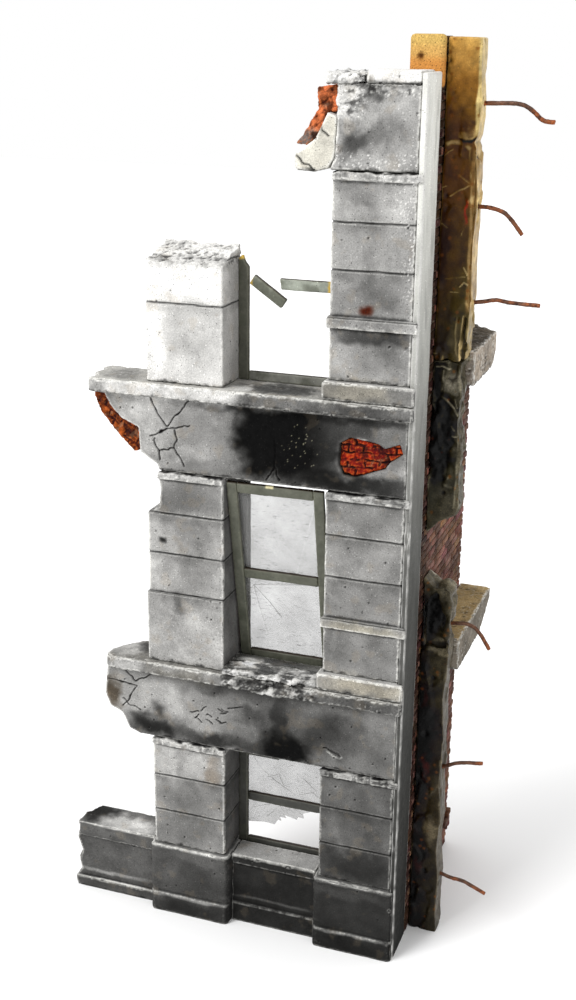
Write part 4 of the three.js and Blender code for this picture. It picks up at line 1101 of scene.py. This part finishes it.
def frame_strip(node, seed):
    """A worn painted strip, with painted shade on its upper faces; its broken ends are raw and yellow."""
    cast = casting(node, voxel=0.27)
    p = cast.points
    worn = step(0.04, 0.2, cast.bulge(3)) * step(0.2, 0.9, layered(p, 2.0, 3, seed + 1))
    cast.move(0.03 * layered(p, 3.0, 3, seed) - 0.2 * worn)
    storey, _, strip = node.split("_", 2)
    tint = np.array(FRAME_TINTS[strip if storey == "second" else storey])
    cast.colour = tint * (1 + 0.09 * layered(p, 3.0, 3, seed + 2))[:, None]
    cast.paint((80, 82, 70), step(0.0, 0.8, layered(p, 5.0, 3, seed + 3)) * 0.5)
    # lighter edges: wear and painted highlight
    cast.paint((156, 156, 134), step(0.03, 0.1, cast.bulge(2)) * 0.3)
    # painted shade on the upper faces
    cast.paint((44, 34, 26), step(0.4, 0.8, cast.normals()[:, 2]) * 0.85)
    if node in BROKEN_STRIPS:
        axis, end = BROKEN_STRIPS[node]
        edge = p[:, axis].max() if end > 0 else p[:, axis].min()
        raw = step(1.6, 0.5, np.abs(p[:, axis] - edge) + 0.5 * noise(p, 1.0, seed + 4))
        cast.paint((222, 184, 84), raw)
    if node == "first_window_top_rail":
        chip = step(1.5, 0.9, np.abs(p[:, 0] + 43)) * step(1.2, 0.7, p[:, 2].max() - p[:, 2])
        cast.paint((236, 226, 178), chip)
    piece(node + "_paint", cast, FRAME_PAINT, node)


strips = [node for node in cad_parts
          if "_window_" in node and node.endswith(("_stile", "_rail", "_transom"))]
for number, node in enumerate(sorted(strips)):
    frame_strip(node, 600 + 9 * number)


def clear_plastic():
    """A thin clear sheet with dust, smears and fine scratches."""
    recipe = Recipe("clear_plastic")
    slanted = recipe.add("Mapping", {"Rotation": (0, 0.6, 0), "Scale": (1, 1, 9), "Vector": recipe.place})
    scratches = recipe.spread(recipe.noise(420, 5, slanted.outputs["Vector"]), 0.62, 0.72, 0.0, 0.4)
    haze = recipe.spread(recipe.noise(90, 5), 0.3, 0.75, 0.28, 0.48)
    both = recipe.add("Math", {0: scratches, 1: haze}, operation="ADD")
    return recipe.shade({
        "Base Color": (0.2, 0.2, 0.195, 1),
        "Roughness": 0.12,
        "IOR": 1.49,
        "Alpha": both.outputs["Value"],
    })


CLEAR = clear_plastic()
SHARD_GAP = 0.012
SHARD_BEVEL = 0.03
# Where the cracks of each sheet start, x and z, and their directions in degrees.
SHATTER = {
    "first_window_lower_pane": ((-51.5, 117), (8, 60, 130, 205, 242, 283, 325)),
    "ground_window_upper_pane": ((-47, 56), (128, 308)),
    "ground_window_lower_pane": ((-50, 40), (70, 250)),
    "first_window_upper_pane": ((-29, 150), (74, 254)),
}


def clear_sheet(node):
    """A pane in the shards that its cracks make, each with its own fine bevel."""
    (x, z), angles = SHATTER[node]
    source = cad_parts[node].data
    centre = Vector(SITE) + Vector((x, 0, z)) * MM
    whole = bmesh.new()
    for first, second in zip(angles, angles[1:] + (angles[0] + 360,)):
        shard = bmesh.new()
        shard.from_mesh(source)
        for angle, sign in ((first, -1), (second, 1)):
            turn = math.radians(angle)
            normal = Vector((-math.sin(turn), 0, math.cos(turn))) * sign
            geometry = shard.verts[:] + shard.edges[:] + shard.faces[:]
            cut = bmesh.ops.bisect_plane(shard, geom=geometry, plane_co=centre - normal * SHARD_GAP * MM,
                                         plane_no=normal, clear_outer=True)
            rim = [item for item in cut["geom_cut"] if isinstance(item, bmesh.types.BMEdge)]
            if rim:
                bmesh.ops.edgeloop_fill(shard, edges=rim)
        if shard.faces:
            part = bpy.data.meshes.new("shard")
            shard.to_mesh(part)
            whole.from_mesh(part)
            bpy.data.meshes.remove(part)
        shard.free()
    mesh = bpy.data.meshes.new(node + "_sheet")
    whole.to_mesh(mesh)
    whole.free()
    mesh.materials.clear()
    mesh.materials.append(CLEAR)
    made = declare(node + "_sheet", mesh, node)
    bevel = made.modifiers.new("edge", "BEVEL")
    bevel.width = SHARD_BEVEL * MM
    bevel.segments = 2
    bevel.limit_method = "ANGLE"


for node in SHATTER:
    clear_sheet(node)


SCRATCH_RADIUS = 0.075
# Fine crack lines in the sheets, as shares of each sheet's width and height.
SCRATCHES = {
    "ground_window_upper_pane": [
        [(0.06, 0.98), (0.22, 0.55), (0.38, 0.36), (0.62, 0.12)],
        [(0.3, 0.4), (0.42, 0.5), (0.48, 0.28), (0.6, 0.4), (0.66, 0.16), (0.8, 0.26), (0.97, 0.05)],
        [(0.7, 0.5), (0.84, 0.3), (0.93, 0.42), (0.98, 0.2)],
    ],
    "ground_window_lower_pane": [
        [(0.04, 0.8), (0.26, 0.92), (0.14, 0.55), (0.4, 0.78), (0.24, 0.42), (0.5, 0.66), (0.36, 0.34)],
        [(0.5, 0.9), (0.62, 0.6), (0.72, 0.86), (0.86, 0.62)],
    ],
    "first_window_lower_pane": [
        [(0.17, 0.84), (0.1, 0.76), (0.02, 0.6)], [(0.17, 0.84), (0.24, 0.5), (0.3, 0.26)],
        [(0.17, 0.84), (0.34, 0.66), (0.46, 0.5)], [(0.17, 0.84), (0.5, 0.9), (0.82, 0.93)],
        [(0.17, 0.84), (0.3, 0.95)], [(0.1, 0.76), (0.22, 0.72), (0.26, 0.84)],
    ],
}


def sheet_scratches(node, lines):
    """Dark hairlines that lie in the front face of a sheet."""
    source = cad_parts[node].data
    front = max((face for face in source.polygons if face.normal.y < 0), key=lambda face: face.area)
    at, normal = front.center, front.normal
    low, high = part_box(node)
    drawing = bpy.data.curves.new(node + "_scratches", "CURVE")
    drawing.dimensions = "3D"
    drawing.bevel_depth = SCRATCH_RADIUS * MM
    drawing.bevel_resolution = 1
    for line in lines:
        spline = drawing.splines.new("POLY")
        spline.points.add(len(line) - 1)
        for point, (across, rise) in zip(spline.points, line):
            x = low.x + (high.x - low.x) * across
            z = low.z + (high.z - low.z) * rise
            y = at.y - (normal.x * (x - at.x) + normal.z * (z - at.z)) / normal.y
            point.co = (x, y, z, 1)
            point.radius = 0.7 + 0.5 * math.sin(across * 19)
    drawing.materials.append(HAIRLINE)
    declare(node + "_scratches", drawing, node, replaces=False)


def hairline():
    """Dirt in the scratches, darker and lighter along them."""
    recipe = Recipe("hairline_dirt")
    ramp = recipe.add("ValToRGB", {"Fac": recipe.noise(500, 2)})
    ramp.color_ramp.elements[0].color = (0.06, 0.06, 0.055, 1)
    ramp.color_ramp.elements[1].color = (0.3, 0.3, 0.28, 1)
    return recipe.shade({"Roughness": 0.6, "Base Color": ramp.outputs["Color"]})


HAIRLINE = hairline()
for node, lines in SCRATCHES.items():
    sheet_scratches(node, lines)


# ---- camera, light and floor

AZIMUTH, ELEVATION, ROLL = 19.388, 18.72, 0.693    # degrees right of the front, above it, and of tilt
CAMERA_PLACE = Vector((89.07, -355.33, 277.18))     # in site millimetres
FRAME_HEIGHT = 1000                                 # the picture's longer side, in its own units
FOCAL = 1367.94                                     # in the same units
AIM_SHIFT = (-2.5, 0.8)                             # and how far the aim is off the picture's centre
SENSOR = 36
KEY_FROM = Vector((-0.45, -0.62, 0.64))
FLOOR_REACH = 2.5


def aim_camera():
    """Looks at the front from its right and from above."""
    azimuth, elevation, roll = math.radians(AZIMUTH), math.radians(ELEVATION), math.radians(ROLL)
    forward = Vector((-math.sin(azimuth) * math.cos(elevation), math.cos(azimuth) * math.cos(elevation),
                      -math.sin(elevation)))
    right = Vector((math.cos(azimuth), math.sin(azimuth), 0))
    up = right.cross(forward)
    across = right * math.cos(roll) + up * math.sin(roll)
    upright = up * math.cos(roll) - right * math.sin(roll)
    forward = (forward + across * (AIM_SHIFT[0] / FOCAL) + upright * (AIM_SHIFT[1] / FOCAL)).normalized()
    across = (across - forward * across.dot(forward)).normalized()
    upright = across.cross(forward)
    data = bpy.data.cameras.new("camera")
    data.sensor_width = SENSOR
    data.lens = FOCAL * SENSOR / FRAME_HEIGHT
    data.clip_start = 0.01
    data.clip_end = 20
    camera = add_object("camera", data)
    place = Vector(SITE) + CAMERA_PLACE * MM
    camera.matrix_world = Matrix((
        (across.x, upright.x, -forward.x, place.x),
        (across.y, upright.y, -forward.y, place.y),
        (across.z, upright.z, -forward.z, place.z),
        (0, 0, 0, 1),
    ))
    bpy.context.scene.camera = camera


def light_scene():
    """A white studio, and one soft lamp from the upper left."""
    world = bpy.data.worlds.new("studio")
    world.use_nodes = True
    world.node_tree.nodes["Background"].inputs["Color"].default_value = (1, 1, 1, 1)
    world.node_tree.nodes["Background"].inputs["Strength"].default_value = 1.0
    bpy.context.scene.world = world
    data = bpy.data.lights.new("key", "SUN")
    data.energy = 2.2
    data.angle = math.radians(25)
    key = add_object("key", data)
    key.rotation_euler = KEY_FROM.to_track_quat("Z", "Y").to_euler()
    bpy.context.scene.view_settings.view_transform = "Standard"


def lay_floor():
    """A sheet of white paper under the ruin."""
    mesh = bpy.data.meshes.new("floor")
    corners = [(-1, -1), (1, -1), (1, 1), (-1, 1)]
    mesh.from_pydata([(x * FLOOR_REACH, y * FLOOR_REACH, 0) for x, y in corners], [], [(0, 1, 2, 3)])
    material = bpy.data.materials.new("floor_paper")
    material.use_nodes = True
    shader = material.node_tree.nodes["Principled BSDF"]
    shader.inputs["Base Color"].default_value = (0.93, 0.93, 0.93, 1)
    shader.inputs["Roughness"].default_value = 0.9
    mesh.materials.append(material)
    add_object("floor", mesh)


aim_camera()
light_scene()
lay_floor()
